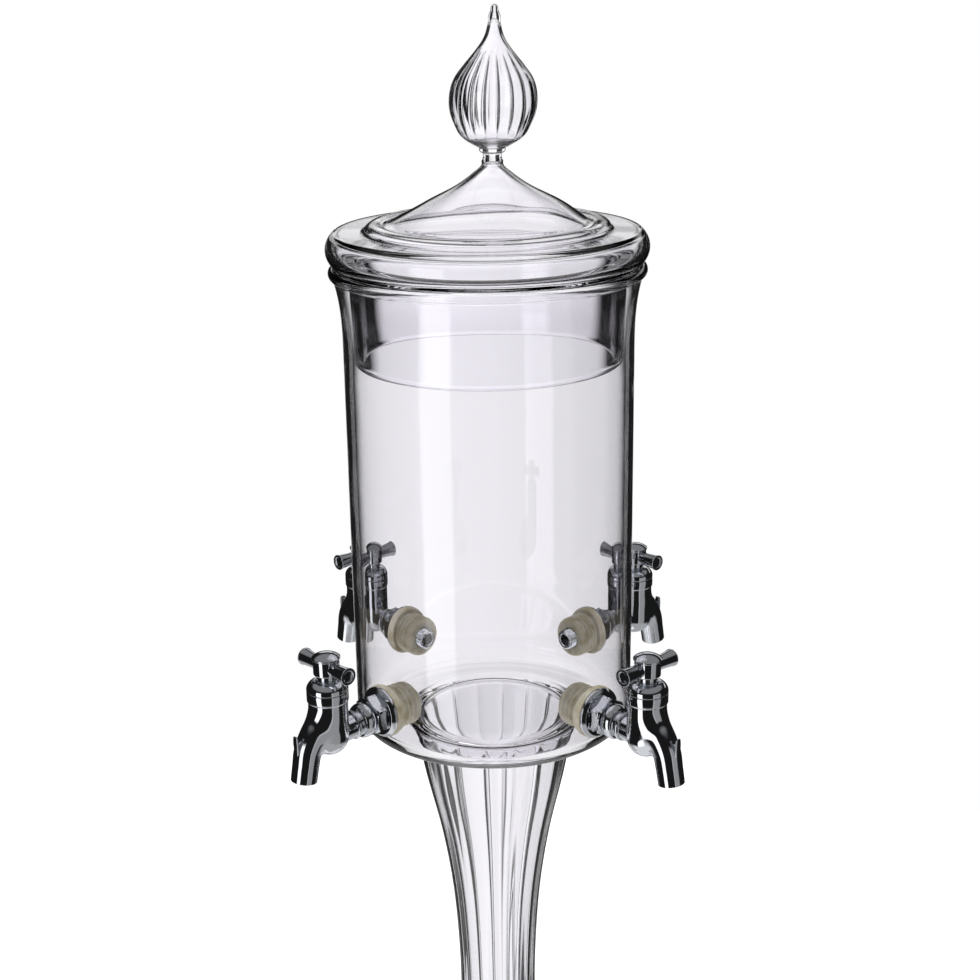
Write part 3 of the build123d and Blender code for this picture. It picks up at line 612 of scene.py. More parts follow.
def glass_body(glass, ribs, taps):
    """Foot, stem and vessel as one skin of glass: their profile turned round Z, with ribs on the stem.
    Round each tap hole, the grid's square of cells is pulled to a circle: a point's offset from the
    hole's middle is scaled by its larger coordinate over its distance, fading out away from the
    hole."""
    profile, walls = body_profile(glass, taps)
    level = profile[:, 1]
    stem_start = glass.foot_height + glass.stem_root
    rib_end = glass.floor_level - glass.stem_head - 2
    rib_run = 14
    fade_in = smooth_step(stem_start, stem_start + rib_run, level)
    fade_out = 1 - smooth_step(rib_end, glass.floor_level, level)
    depth = ribs.stem_depth * fade_in * fade_out
    points = ribbed(profile, BODY_COLUMNS, ribs.stem_count, depth, ribs.stem_narrow, ribs.stem_turn)

    hole = taps.hole_radius
    half = HOLE_CELLS * tau / BODY_COLUMNS
    grid = np.arange(len(profile) * BODY_COLUMNS).reshape(len(profile), BODY_COLUMNS)
    gone = np.zeros((len(profile) - 1, BODY_COLUMNS), bool)
    bores = []
    for degrees in TAP_ANGLES.values():
        middle = radians(degrees)
        away = (round_angles(BODY_COLUMNS) - middle + pi) % tau - pi
        first = round(degrees / 360 * BODY_COLUMNS) - HOLE_CELLS
        last = first + 2 * HOLE_CELLS
        rims = []
        for rows in walls:
            radius = profile[rows[0], 0]
            across = np.broadcast_to(away / half * hole, (len(rows), BODY_COLUMNS))
            up = np.broadcast_to((level[rows] - taps.level)[:, None], across.shape)
            larger = np.maximum(np.abs(across), np.abs(up))
            distance = np.maximum(np.hypot(across, up), 1e-9)
            pull = 1 - smooth_step(hole, HOLE_REACH, larger)
            scale = 1 - pull + pull * larger / distance
            across, up = across * scale, up * scale
            straight_on = np.arcsin(np.clip(across / radius, -1, 1))
            turn = middle + across * half / hole * (1 - pull) + straight_on * pull
            moved = np.stack((radius * np.cos(turn), radius * np.sin(turn), up + taps.level), axis=-1)
            points[rows] = np.where(pull[..., None] > 0, moved, points[rows])
            in_hole = rows[HOLE_SPARE + 1 :][: 2 * HOLE_CELLS + 1]
            gone[in_hole.min() : in_hole.max(), first:last] = True
            block = grid[in_hole, first : last + 1]
            rims.append(np.concatenate((block[0, :-1], block[:-1, -1], block[-1, :0:-1], block[:0:-1, 0])))
        outer, inner = rims
        bores.append(np.stack((np.roll(outer, -1), outer, inner, np.roll(inner, -1)), axis=-1))
    surface, faces = skin(points, gone=gone)
    return surface, np.concatenate([faces] + bores)


def stem_hollow(glass):
    """Hollow of the stem: a closed skin that faces into the hollow, a wall's thickness inside the ribs
    and smooth, rounded at both ends, turned round Z."""
    low, high = glass.foot_height, glass.floor_level
    levels = np.linspace(low + glass.stem_root + 1, high - glass.stem_head - 1, 60)
    side = np.column_stack((stem_radius(glass, levels) - glass.stem_wall, levels))
    profile = trace(
        [(0, low)],
        straight((side[0, 0] - 5, low), 6),
        bend(side[0], (1, 0), side[1] - side[0], 8),
        side,
        bend((side[-1, 0] - 4, high), side[-1] - side[-2], (-1, 0), 8),
        straight((0, high), 6),
    )
    return skin(lathe(profile[::-1], 180))


def onion_outline(glass):
    """Outline of the ribbed finial from its foot to the nib: an onion that swells quickly and tapers to
    a point."""
    share = np.linspace(0, 1, 60)
    stations = (0, 0.065, 0.2, 0.4, 0.6, 0.7, 0.8, 0.9, 0.95, 1)
    swell = glass.bulb_radius * np.array((0.63, 0.88, 1, 0.86, 0.66, 0.44, 0.253, 0.196))
    radius = curve(stations, (glass.bulb_foot, *swell, glass.nib_radius), share)
    return np.column_stack((radius, glass.lid_top + glass.bead_height + share * glass.bulb_height))


def set_by_hand(glass, points):
    """Points of the lid, pushed off the axis by hand: not at all on the flange, by one offset from the
    roof up, and evenly on to another at the tip."""
    roof_low, roof_high = glass.lid_top - 33, glass.lid_top - 20
    neck = smooth_step(roof_low, roof_high, points[..., 2])
    tip = np.clip((points[..., 2] - glass.lid_top) / (glass.tip_level - glass.lid_top), 0, 1)
    push = glass.neck_offset * neck + (glass.tip_offset - glass.neck_offset) * tip
    return points + push[..., None] * np.array((1, 0, 0))


def lid_and_finial(glass, ribs):
    """Lid and finial as one skin of glass: a profile from under the neck, down under the roof and
    inside the skirt, round its edge and up over flange, ring, roof, neck and onion to the tip, melted a
    little at its corners and turned round Z, with ribs where the onion is wide."""
    lip, top, wall, thin = glass.lip_level, glass.lid_top, glass.lid_wall, glass.roof_wall
    outer, ring, neck = glass.flange_radius, glass.ring_radius, glass.neck_radius
    flange = lip + glass.flange_height
    edge = outer - glass.flange_round
    bulge = lip + glass.flange_height * 0.54
    seat = glass.vessel_radius + glass.flare_out - glass.seat_margin
    seat_inner = seat - glass.seat_width
    skirt, skirt_round = glass.skirt_radius, glass.skirt_wall / 2
    skirt_inner = skirt - glass.skirt_wall
    skirt_end = glass.skirt_end + skirt_round
    turn = seat_inner - skirt
    ring_inner = ring - glass.ring_width
    ring_top = flange + glass.ring_height
    crease = ring_top - glass.ring_rise
    seat_under = lip + wall
    flange_under = flange - wall
    bulb = top + glass.bead_height
    nib = bulb + glass.bulb_height
    roof_start = (glass.roof_radius, flange + glass.roof_edge)
    roof_end = (neck + 0.35, top - 3.4)
    roof_middle = ((30.1, top - 20.2), (13.4, top - 11.2), (8.4, top - 7.4))
    roof = through((roof_start, *roof_middle, roof_end), 50, (-1, 0.55), (-0.25, 1))
    ceiling = inward(roof, thin)[::-1]
    drawn_out = ((glass.nib_radius, 0), (2.6, 2.6), (2.75, 4.4), (1.75, 6.4), (1.55, 8.4), (0, 9.5))
    tip = np.array(drawn_out) + (0, nib)
    profile = trace(
        [(0, top - 2.9)],
        bend(ceiling[0], (1, 0), ceiling[1] - ceiling[0], 6),
        ceiling,
        straight((ring_inner, crease - thin), 3),
        arc((ring - 3.6, ring_top - thin), (ring - wall * 0.6, flange_under)),
        straight((edge - wall * 0.3, flange_under), 4),
        arc((outer - wall, bulge), (seat - wall * 0.6, seat_under)),
        straight((skirt_inner + turn, seat_under), 3),
        quarter((skirt_inner + turn, seat_under - turn), (skirt_inner, seat_under - turn)),
        straight((skirt_inner, skirt_end), 20),
        arc((skirt - skirt_round, skirt_end - skirt_round), (skirt, skirt_end)),
        straight((skirt, lip - turn), 20),
        quarter((seat_inner, lip - turn), (seat_inner, lip)),
        straight((seat, lip), 3),
        arc((outer, bulge), (edge, flange)),
        straight((ring, flange), 4),
        arc((ring - 2.8, ring_top), (ring_inner, crease)),
        straight(roof_start, 3),
        roof,
        arc((neck + 0.7, top - 2.6), (neck, top - 1.6)),
        straight((neck, top + 1.2), 3),
        arc((glass.bead_radius, top + 2.4), (glass.bead_radius - 0.5, bulb)),
        onion_outline(glass),
        through(tip, 24, (-0.3, 1), (-1, 0)),
    )
    profile = softened(profile, step=1.0, reach=0.35)
    profile[:, 1] = np.minimum(profile[:, 1], glass.tip_level)
    fade = smooth_step(bulb + 2, bulb + 13, profile[:, 1]) * smooth_step(6, 13, profile[:, 0])
    depth = ribs.finial_depth * fade
    points = ribbed(profile, LID_COLUMNS, ribs.finial_count, depth, ribs.finial_narrow)
    return skin(set_by_hand(glass, points))


def finial_hollow(glass):
    """Hollow of the finial: a closed skin that faces into the hollow, a thin wall inside the onion and
    smooth, up into the nib, turned round Z."""
    side = inward(onion_outline(glass), glass.bulb_wall)[5:]
    tip = side[-1, 1]
    profile = trace(
        [(0, glass.lid_top + glass.bead_height + 2.4)],
        bend(side[0], (1, 0), side[1] - side[0], 8),
        side,
        through((side[-1], (1.2, tip + 2.5), (0, tip + 4)), 6, side[-1] - side[-2], (-1, 0)),
    )
    return skin(set_by_hand(glass, lathe(profile[::-1], 120)))


# Taps, drawn along +X


def casting_distance(taps, line, radii, points):
    """Distance from points to the skin of barrel and spout, negative inside: the smaller of the
    distances to an upright cylinder that ends in a ball and to a tube along a bent line, melted
    together where both are near."""
    melt = 3.0
    below = np.minimum(points[..., 2] + taps.belly, 0)
    barrel = np.sqrt(points[..., 0] ** 2 + points[..., 1] ** 2 + below**2) - taps.barrel_radius
    spout = (np.linalg.norm(points[..., None, :] - line, axis=-1) - radii).min(axis=-1)
    shared = np.maximum(melt - np.abs(barrel - spout), 0)
    return np.minimum(barrel, spout) - shared**2 / (4 * melt)


def tap_casting(taps):
    """Upright barrel, round belly and S spout as one skin of slices. Each slice lies square to the
    tap's middle plane, along a line from a front point to a back point. From its middle, rays leave at
    even angles and step on by the distance that is left until they meet the skin. The stack starts
    inside the mouth's bore."""
    columns = 72
    radius, band, top = taps.barrel_radius, taps.band_radius, taps.barrel_top
    # Spout's middle line: out from the barrel's axis, up from the shank's axis, radius; it runs on past
    # the mouth
    run = np.array(
        (
            (1.0, 7.5, 6.9),
            (4.2, 5.0, 6.9),
            (8.2, 0.8, 6.6),
            (11.9, -4.9, 6.2),
            (13.5, -11.4, 5.95),
            (14.9, -18.4, taps.mouth_radius),
            (16.0, -24.0, taps.mouth_radius),
        )
    )
    middle = through(run[:, :2], 64)
    line = np.insert(middle, 1, 0, axis=1)
    radii = np.interp(middle[:, 1], run[::-1, 1], run[::-1, 2])

    # Slices from the mouth upwards: front point out and up, back point out and up
    slices = (
        (20.64, -17.3, 9.16, -19.5),
        (20.25, -15.3, 8.5, -17.2),
        (19.8, -12.9, 7.9, -14.6),
        (19.3, -10.0, 7.4, -12.2),
        (18.8, -7.0, 6.9, -10.2),
        (18.3, -4.6, 6.4, -9.0),
        (17.9, -3.1, 5.4, -8.9),
        (17.4, -1.9, 3.6, -9.6),
        (17.0, -1.0, 1.0, -10.1),
        (16.5, -0.1, -2.4, -9.7),
        (16.0, 0.8, -5.6, -7.9),
        (15.3, 2.0, -7.9, -4.8),
        (14.4, 3.5, -radius, -0.5),
        (13.2, 5.3, -radius, 3.0),
        (11.4, 7.6, -radius, 6.2),
        (9.6, 10.0, -radius, 9.2),
        (radius, 12.4, -radius, 12.2),
        (radius, 14.6, -radius, 14.6),
    )
    rows = even_rows(slices, 6 * (len(slices) - 1) + 1)
    front, back = rows[:, :2], rows[:, 2:]
    across = front - back
    across /= np.hypot(*across.T)[:, None]
    angle = round_angles(columns)
    sideways = np.broadcast_to(np.sin(angle), (len(rows), columns))
    ray = np.stack((across[:, :1] * np.cos(angle), sideways, across[:, 1:] * np.cos(angle)), axis=-1)
    centre = np.insert((front + back) / 2, 1, 0, axis=1)[:, None]
    skin_points = np.broadcast_to(centre, ray.shape)
    for _ in range(50):
        left = casting_distance(taps, line, radii, skin_points)
        skin_points = skin_points - ray * left[..., None]

    # Mouth: the bore's blind end, the bore by every third slice and a rounded rim that stands proud
    # along the spout's run
    bore_slices = slice(12, None, -3)
    deep = centre[bore_slices]
    bore = deep + (skin_points[bore_slices] - deep) * taps.mouth_bore / taps.mouth_radius
    end = np.broadcast_to(deep[0], bore[:1].shape)
    mouth_run = np.array((0.19, 0, -0.98))
    share = np.array((0.79, 0.88, 0.97))[:, None, None]
    proud = np.array((0.22, 0.3, 0.2))[:, None, None]
    rim = centre[0] + (skin_points[:1] - centre[0]) * share + proud * mouth_run

    # Top: the raised band and the flat under the bonnet
    band_foot = ((radius, top - 4.8), (band - 0.05, top - 4.3), (band, top - 4.1))
    band_top = ((band, top - 0.4), (band - 0.12, top - 0.12), (band - 0.4, top), (0, top))
    upper = lathe(np.array(band_foot + band_top), columns)
    points = np.concatenate((end, bore, rim, skin_points, upper))
    return skin(points + np.array((taps.reach, 0, taps.level)))


def spout_hook(taps):
    """Tongue on the spout's outer side: a stack of rounded rectangles that grows out of the spout,
    stands up and thins towards its tip. Their sides are a power of the cosine and the sine of an
    angle."""
    # Height, middle out, half-thickness, half-width
    stations = (
        (-9.0, 17.6, 0.5, 0.7),
        (-6.5, 17.7, 0.65, 1.1),
        (-4.0, 17.85, 0.65, 1.45),
        (-1.5, 18.0, 0.6, 1.6),
        (1.2, 18.1, 0.55, 1.6),
        (3.2, 18.15, 0.45, 1.4),
    )
    root = [(-9.2, 17.6, 0, 0)]
    tip = [(3.65, 18.15, 0.3, 1.1), (3.8, 18.15, 0, 0)]
    columns, squareness = 32, 0.55
    rows = np.concatenate((root, even_rows(stations, 24), tip))
    up, out, half_thick, half_wide = rows.T[..., None]
    angle = round_angles(columns)
    thick = np.sign(np.cos(angle)) * np.abs(np.cos(angle)) ** squareness
    wide = np.sign(np.sin(angle)) * np.abs(np.sin(angle)) ** squareness
    up = np.broadcast_to(taps.level + up, (len(rows), columns))
    return skin(np.stack((taps.reach + out + half_thick * thick, half_wide * wide, up), axis=-1))


def inlet(taps):
    """Shank, collar, bead and cone: a profile turned round the shank's axis, which sinks a little from
    the nut to the barrel. On the shank's inner end the radius falls by the thread's depth as a triangle
    wave of distance over pitch, less the turn of the angle, a helix."""
    columns = 72
    end, radius, bore, neck = taps.shank_end, taps.shank_radius, taps.passage_radius, taps.inlet_radius
    blind = end + taps.passage_depth
    thread_stop = end + taps.thread_length
    thread = np.linspace(end + 0.6, thread_stop, 110)
    start, stop = taps.nut_face, taps.collar_face
    edge = taps.collar_radius - taps.collar_bulge
    bead = stop + 1.9
    profile = trace(
        [(0, blind), (bore, blind), (bore, end + 0.3), (bore + 0.3, end), (radius - 0.7, end)],
        [(radius - 0.5, end + 0.15)],
        np.column_stack((np.full(len(thread), radius), thread)),
        [(radius, start), (edge - 0.2, start), (edge, start + 0.1)],
        arc((taps.collar_radius, (start + stop) / 2), (edge, stop - 0.1), 14),
        rounded(((edge, stop - 0.1), (edge - 0.3, stop), (neck, stop), (neck, bead)), 0.3),
        arc((neck + 1, bead + 1), (neck, bead + 2)),
        bend((taps.cone_radius, taps.reach), (0.12, 1), (1, 1), 12),
        straight((0, taps.reach), 3),
    )
    points = lathe(profile, columns, 1)
    out, along = profile[:, :1], profile[:, 1:]
    wave = np.abs(((along - end) / taps.thread_pitch - np.arange(columns) / columns) % 1 * 2 - 1)
    on_thread = smooth_step(end + 0.4, end + 1.2, along) * (along < thread_stop) * (out > bore + 1)
    shrink = 1 - on_thread * wave * taps.thread_depth / np.maximum(out, 1e-6)
    points[..., 1:] *= shrink[..., None]
    sunk = smooth_step(taps.washer_face, taps.reach - 9, points[..., 0])
    points[..., 2] += taps.level - taps.inlet_sag * sunk
    return skin(points)


def lock_nut(taps):
    """Hexagon with its corners turned off: round the shank's axis, the radius at each angle is the
    smaller of the hexagon's and of a cone that closes in towards both faces."""
    columns, edge = 96, 0.4
    low, high, radius = taps.washer_face, taps.nut_face, taps.shank_radius + taps.fit
    angle = round_angles(columns)
    # A corner points straight up, at a quarter turn from the first column
    from_corner = np.abs((angle - pi / 2 + pi / 6) % (pi / 3) - pi / 6)
    hexagon = taps.nut_width / 2 / np.cos(pi / 6 - from_corner)
    depth = np.array((0, 0.12, 0.3, 0.5, 0.7, 0.9, 1.1))
    along = np.concatenate((low + depth, high - depth[::-1]))
    from_face = np.minimum(along - low, high - along)[:, None]
    chamfer = 0.12 * (from_face < 0.05)
    cone = taps.nut_width / 2 + 0.3 + from_face - chamfer
    side = np.minimum(hexagon, cone)
    inner = np.full((1, columns), radius)
    rim = inner + edge
    radii = np.concatenate((inner, rim, side, rim, inner))
    along = np.concatenate(((low + edge, low), along, (high, high - edge)))[:, None]
    along = np.broadcast_to(along, radii.shape)
    points = np.stack((along, radii * np.cos(angle), taps.level + radii * np.sin(angle)), axis=-1)
    return skin(points, loop=True)


def flange_washer(taps):
    """Disc that slopes down to the face under the nut, with rounded edges, turned round the shank's
    axis."""
    low, high, radius, slope = taps.head_face, taps.washer_face, taps.washer_radius, taps.washer_slope
    bore = taps.shank_radius + taps.fit
    corners = ((bore, low), (radius, low), (radius, high - slope), (radius - slope, high), (bore, high))
    profile = rounded(corners, (0.1, 0.5, 0.4, 0.4, 0.1), loop=True)
    return skin(lathe(profile, 72, 1, (0, 0, taps.level)), loop=True)


def grommet(glass, taps):
    """Silicone bung turned round the shank's axis: rounded sleeve with fine ridges inside the vessel,
    waist in the hole, tapered head outside. Next to the glass each point moves inwards to where the
    round wall is at its sideways distance."""
    outer = glass.vessel_radius
    inner = outer - glass.vessel_wall
    bore = taps.shank_radius + taps.fit
    waist = taps.hole_radius - taps.fit
    gap = 0.06
    end, head, head_face = taps.sleeve_end, taps.head_radius, taps.head_face
    tip, high = taps.sleeve_tip, taps.ridge_height
    sleeve = taps.sleeve_radius - 0.2
    first = end + 2.3
    along = np.linspace(first, inner - 0.6, 40)
    ridge = high * np.maximum(np.cos((along - first) * tau / taps.ridge_pitch), -0.5)
    shoulder = (sleeve, inner - 0.5)
    profile = trace(
        rounded(((bore, end + 1), (bore, end), (tip - 0.2, end), (tip, end + 0.02)), 0.4),
        [(tip, end + 0.05)],
        arc((tip + (sleeve - tip) * 0.75, end + 0.7), (sleeve, end + 2.1), 10),
        np.column_stack((taps.sleeve_radius - high + ridge, along)),
        rounded((shoulder, (sleeve, inner - gap), (waist, inner - gap), (waist, inner + 0.4)), 0.25),
        [(waist, inner + 0.5)],
        straight((waist, outer - 0.5), 4),
        rounded(
            (
                (waist, outer - 0.4),
                (waist, outer + gap),
                (head - 0.6, outer + gap),
                (head, outer + 1.4),
                (head, head_face),
                (bore, head_face),
                (bore, head_face - 1),
            ),
            0.4,
        ),
    )
    points = lathe(profile, 96, 1)
    out = points[..., 0]
    near_inside = smooth_step(inner - 3.4, inner - 0.2, out)
    near_outside = 1 - smooth_step(outer + 0.2, outer + 2.2, out)
    points[..., 0] += near_inside * near_outside * (np.sqrt(out**2 - points[..., 1] ** 2) - out)
    points[..., 2] += taps.level
    return skin(points, loop=True)


def bonnet(taps):
    """Rim on the barrel, round shoulder and neck, turned round the barrel's axis, with the stem's bore."""
    low, high = taps.barrel_top, taps.barrel_top + taps.bonnet_height
    band, neck, bore = taps.band_radius, taps.bonnet_neck, taps.stem_bore
    foot = low + 0.02
    top = taps.hub_foot - taps.fit
    lower = ((bore, low + 1), (bore, foot), (band - 0.35, foot), (band, low + 0.5), (band, low + 1.3))
    upper = ((neck + 0.5, high - 0.3), (neck, high), (4.1, high), (4.0, top), (bore, top), (bore, high - 1))
    profile = trace(
        rounded(lower, 0.25),
        arc((band - 1, low + 3.4), upper[0], 16),
        rounded(upper, 0.12),
    )
    return skin(lathe(profile, 72, at=(taps.reach, 0, taps.level)), loop=True)


def handle(taps):
    """Hub on a short neck, turned round the barrel's axis, and a bar turned round a level axis across
    it, whose radius grows as a power of the distance to the discs at its ends."""
    low = taps.hub_foot
    hub_low = low + taps.hub_neck
    high = hub_low + taps.hub_height
    neck, radius = taps.hub_neck_radius, taps.hub_radius
    corners = ((0, low), (neck, low), (neck, hub_low), (radius, hub_low), (radius, high), (0, high))
    hub = lathe(rounded(corners, (0, 0.3, 0.3, 0.6, 0.3, 0)), 64, at=(taps.reach, 0, taps.level))
    reach, slim, disc = taps.bar_reach, taps.bar_radius, taps.bar_end_radius
    arm_start, flare_end, flare_power = 4, reach - 0.8, 1.7
    way = np.linspace(0, 1, 24)
    flare = slim + (disc - 0.2 - slim) * way**flare_power
    edge = ((disc - 0.2, flare_end), (disc, reach - 0.6), (disc, reach))
    dish = ((2.7, reach), (2.55, reach - 0.6), (0, reach - 0.7))
    arm = trace(
        np.column_stack((flare, arm_start + (flare_end - arm_start) * way)),
        rounded(edge + dish, 0.2),
    )
    both = np.concatenate((arm[::-1] * np.array((1, -1)), arm))
    bar = lathe(both, 48, 2, (taps.reach, 0, taps.level + hub_low + taps.bar_height))
    return merged(skin(hub), skin(bar))


def handle_cap(taps):
    """Low dome with a brim, turned round the barrel's axis."""
    low = taps.hub_foot + taps.hub_neck + taps.hub_height
    radius, brim = taps.cap_radius, low + taps.cap_brim
    foot = low + 0.02
    profile = trace(
        rounded(((0, foot), (radius - 0.35, foot), (radius, low + 0.4), (radius, brim)), 0.2),
        bend((0, low + taps.cap_height), (-0.75, 0.7), (-1, 0.02), 20),
    )
    return skin(lathe(profile, 64, at=(taps.reach, 0, taps.level)))


# Finishes


def add_node(tree, kind, inputs=(), **settings):
    """Adds a shader node with its settings. Inputs go by name, or by place where they are a row. Each
    takes a value, or a link from a socket or from a node's first output."""
    node = tree.nodes.new("ShaderNode" + kind)
    for name, value in settings.items():
        setattr(node, name, value)
    for name, value in inputs.items() if isinstance(inputs, dict) else enumerate(inputs):
        source = value.outputs[0] if isinstance(value, bpy.types.Node) else value
        if isinstance(source, bpy.types.NodeSocket):
            tree.links.new(source, node.inputs[name])
        else:
            node.inputs[name].default_value = source
    return node


def new_material(name):
    """Empty node material and its tree."""
    material = bpy.data.materials.get(name) or bpy.data.materials.new(name)
    material.use_nodes = True
    material.node_tree.nodes.clear()
    return material, material.node_tree


def finished(material, inputs):
    """The material with one shader on its output."""
    shader = add_node(material.node_tree, "BsdfPrincipled", inputs)
    add_node(material.node_tree, "OutputMaterial", {"Surface": shader})
    return material


def blown_glass(finish):
    """Clear soda-lime glass, blown and fire-polished: no colour of its own, mirror-smooth, but the wall
    is never quite even, so straight lines seen through it waver over a few centimetres."""
    material, tree = new_material("Blown soda-lime glass")
    place = add_node(tree, "TexCoord").outputs["Object"]
    # Waves about 30 mm long
    pattern = {"Scale": 1 / 0.03, "Detail": 1.0, "Roughness": 0.4}
    waves = add_node(tree, "TexNoise", {"Vector": place, **pattern})
    bump = add_node(tree, "Bump", {"Height": waves, "Strength": 0.35, "Distance": 0.0004})
    look = {"Base Color": finish.glass, "Roughness": 0.0, "IOR": 1.5, "Transmission Weight": 1.0}
    return finished(material, {**look, "Normal": bump})


def chrome_plate(finish):
    """Bright chrome on cast brass, polished by hand: a cold mirror whose reflections wobble over the
    castings, with a faint haze where fingers have been."""
    material, tree = new_material("Polished chrome plate")
    place = add_node(tree, "TexCoord").outputs["Object"]
    # Polishing waves about 5 mm long
    pattern = {"Scale": 1 / 0.005, "Detail": 2.0, "Roughness": 0.5}
    waves = add_node(tree, "TexNoise", {"Vector": place, **pattern})
    bump = add_node(tree, "Bump", {"Height": waves, "Strength": 0.08, "Distance": 0.00025})
    # Haze in patches about 8 mm wide
    pattern = {"Scale": 1 / 0.008, "Detail": 5.0, "Roughness": 0.65}
    haze = add_node(tree, "TexNoise", {"Vector": place, **pattern})
    ends = {"From Min": 0.35, "From Max": 0.75, "To Min": 0.02, "To Max": 0.08}
    rough = add_node(tree, "MapRange", {"Value": haze, **ends})
    look = {"Base Color": finish.chrome, "Metallic": 1.0, "Roughness": rough}
    return finished(material, {**look, "Normal": bump})


def moulded_silicone(finish):
    """Translucent beige silicone, moulded: milky, with cloudy patches that are deeper and more amber,
    and a soft satin skin that holds water marks."""
    material, tree = new_material("Moulded translucent silicone")
    place = add_node(tree, "TexCoord").outputs["Object"]
    # Cloudy patches about 6 mm wide
    pattern = {"Scale": 1 / 0.006, "Detail": 3.0, "Roughness": 0.55}
    clouds = add_node(tree, "TexNoise", {"Vector": place, **pattern})
    share = add_node(tree, "MapRange", {"Value": clouds, "From Min": 0.4, "From Max": 0.72})
    # A mix of colours has its inputs at places 6 and 7 and its output at place 2
    tones = {"Factor": share, 6: finish.silicone, 7: finish.silicone_deep}
    colour = add_node(tree, "Mix", tones, data_type="RGBA").outputs[2]
    # Mould grain and water marks about 1.5 mm wide
    pattern = {"Scale": 1 / 0.0015, "Detail": 3.0, "Roughness": 0.6}
    grain = add_node(tree, "TexNoise", {"Vector": place, **pattern})
    ends = {"From Min": 0.3, "From Max": 0.7, "To Min": 0.22, "To Max": 0.5}
    rough = add_node(tree, "MapRange", {"Value": grain, **ends})
    bump = add_node(tree, "Bump", {"Height": grain, "Strength": 0.25, "Distance": 0.0001})
    inner = {"Subsurface Weight": 0.6, "Subsurface Radius": (1.0, 0.85, 0.6), "Subsurface Scale": 0.004}
    look = {"Base Color": colour, "Roughness": rough, "IOR": 1.41}
    return finished(material, {**look, **inner, "Normal": bump})


def turned_brass(finish):
    """Brass bar turned on a lathe: warm metal with fine tool rings round the plug, dulled by grease."""
    material, tree = new_material("Turned brass")
    place = add_node(tree, "TexCoord").outputs["Object"]
    # Tool rings 0.3 mm apart along the upright axis
    spacing = {"Scale": 0.314 / 0.0003, "Distortion": 0.6, "Detail": 1.0}
    rings = add_node(tree, "TexWave", {"Vector": place, **spacing}, bands_direction="Z").outputs["Fac"]
    rough = add_node(tree, "MapRange", {"Value": rings, "To Min": 0.2, "To Max": 0.38})
    bump = add_node(tree, "Bump", {"Height": rings, "Strength": 0.3, "Distance": 0.00003})
    look = {"Base Color": finish.brass, "Metallic": 1.0, "Roughness": rough}
    return finished(material, {**look, "Normal": bump})


def grained(name, colour, roughness, grain_mm):
    """Plain sheet plastic or moulded rubber: one body colour, with a grain that breaks up its sheen."""
    material, tree = new_material(name)
    place = add_node(tree, "TexCoord").outputs["Object"]
    size = {"Scale": 1000 / grain_mm, "Detail": 4.0, "Roughness": 0.6}
    grain = add_node(tree, "TexNoise", {"Vector": place, **size})
    ends = {"To Min": roughness - 0.12, "To Max": roughness + 0.12}
    rough = add_node(tree, "MapRange", {"Value": grain, **ends})
    bump = add_node(tree, "Bump", {"Height": grain, "Strength": 0.3, "Distance": 0.00005})
    return finished(material, {"Base Color": colour, "Roughness": rough, "Normal": bump})


# Operators


class FOUNTAIN_OT_glass_body(Operator):
    """Blows the foot, the stem and the vessel as one piece of glass"""

    bl_idname = "fountain.glass_body"
    bl_label = "Glass body"

    def execute(self, context):
        scene = context.scene
        glass, taps = sizes(scene.fountain_glass), sizes(scene.fountain_taps)
        surface = merged(glass_body(glass, scene.fountain_ribs, taps), stem_hollow(glass))
        material = blown_glass(scene.fountain_finish)
        nodes = ("foot", "ribbed_stem", "glass_vessel")
        piece = make_piece("glass_body", surface, material, "fountain", nodes)
        # Soft light reaches what stands inside
        piece.visible_diffuse = False
        return {"FINISHED"}


class FOUNTAIN_OT_glass_lid(Operator):
    """Blows the lid and its finial as one piece of glass"""

    bl_idname = "fountain.glass_lid"
    bl_label = "Glass lid"

    def execute(self, context):
        scene = context.scene
        glass = sizes(scene.fountain_glass)
        surface = merged(lid_and_finial(glass, scene.fountain_ribs), finial_hollow(glass))
        material = blown_glass(scene.fountain_finish)
        nodes = ("lid", "finial")
        piece = make_piece("glass_lid", surface, material, "lid", nodes, sharp=80)
        piece.visible_diffuse = False
        return {"FINISHED"}


class FOUNTAIN_OT_tap_bodies(Operator):
    """Casts the four tap bodies with their shanks, spouts and hooks"""

    bl_idname = "fountain.tap_bodies"
    bl_label = "Tap bodies"

    def execute(self, context):
        taps = sizes(context.scene.fountain_taps)
        chrome = chrome_plate(context.scene.fountain_finish)
        body = merged(tap_casting(taps), spout_hook(taps), inlet(taps))
        make_tap_pieces(("spout", "tap_body", body, chrome, "chrome", 35, False))
        return {"FINISHED"}


class FOUNTAIN_OT_tap_fittings(Operator):
    """Makes the nuts, the flange washers and the silicone grommets"""

    bl_idname = "fountain.tap_fittings"
    bl_label = "Tap fittings"

    def execute(self, context):
        scene = context.scene
        glass, taps = sizes(scene.fountain_glass), sizes(scene.fountain_taps)
        chrome = chrome_plate(scene.fountain_finish)
        silicone = moulded_silicone(scene.fountain_finish)
        make_tap_pieces(
            ("nut", "lock_nut", lock_nut(taps), chrome, "chrome", 18, False),
            ("washer", "flange_washer", flange_washer(taps), chrome, "chrome", 35, False),
            ("bung", "grommet", grommet(glass, taps), silicone, "silicone", 60, False),
        )
        return {"FINISHED"}


class FOUNTAIN_OT_tap_handles(Operator):
    """Makes the bonnets, the T handles and their caps"""

    bl_idname = "fountain.tap_handles"
    bl_label = "Tap handles"

    def execute(self, context):
        taps = sizes(context.scene.fountain_taps)
        chrome = chrome_plate(context.scene.fountain_finish)
        make_tap_pieces(
            ("shoulder", "bonnet", bonnet(taps), chrome, "chrome", 35, False),
            ("tee", "handle", handle(taps), chrome, "chrome", 35, True),
            ("cap", "handle_cap", handle_cap(taps), chrome, "chrome", 35, True),
        )
        return {"FINISHED"}


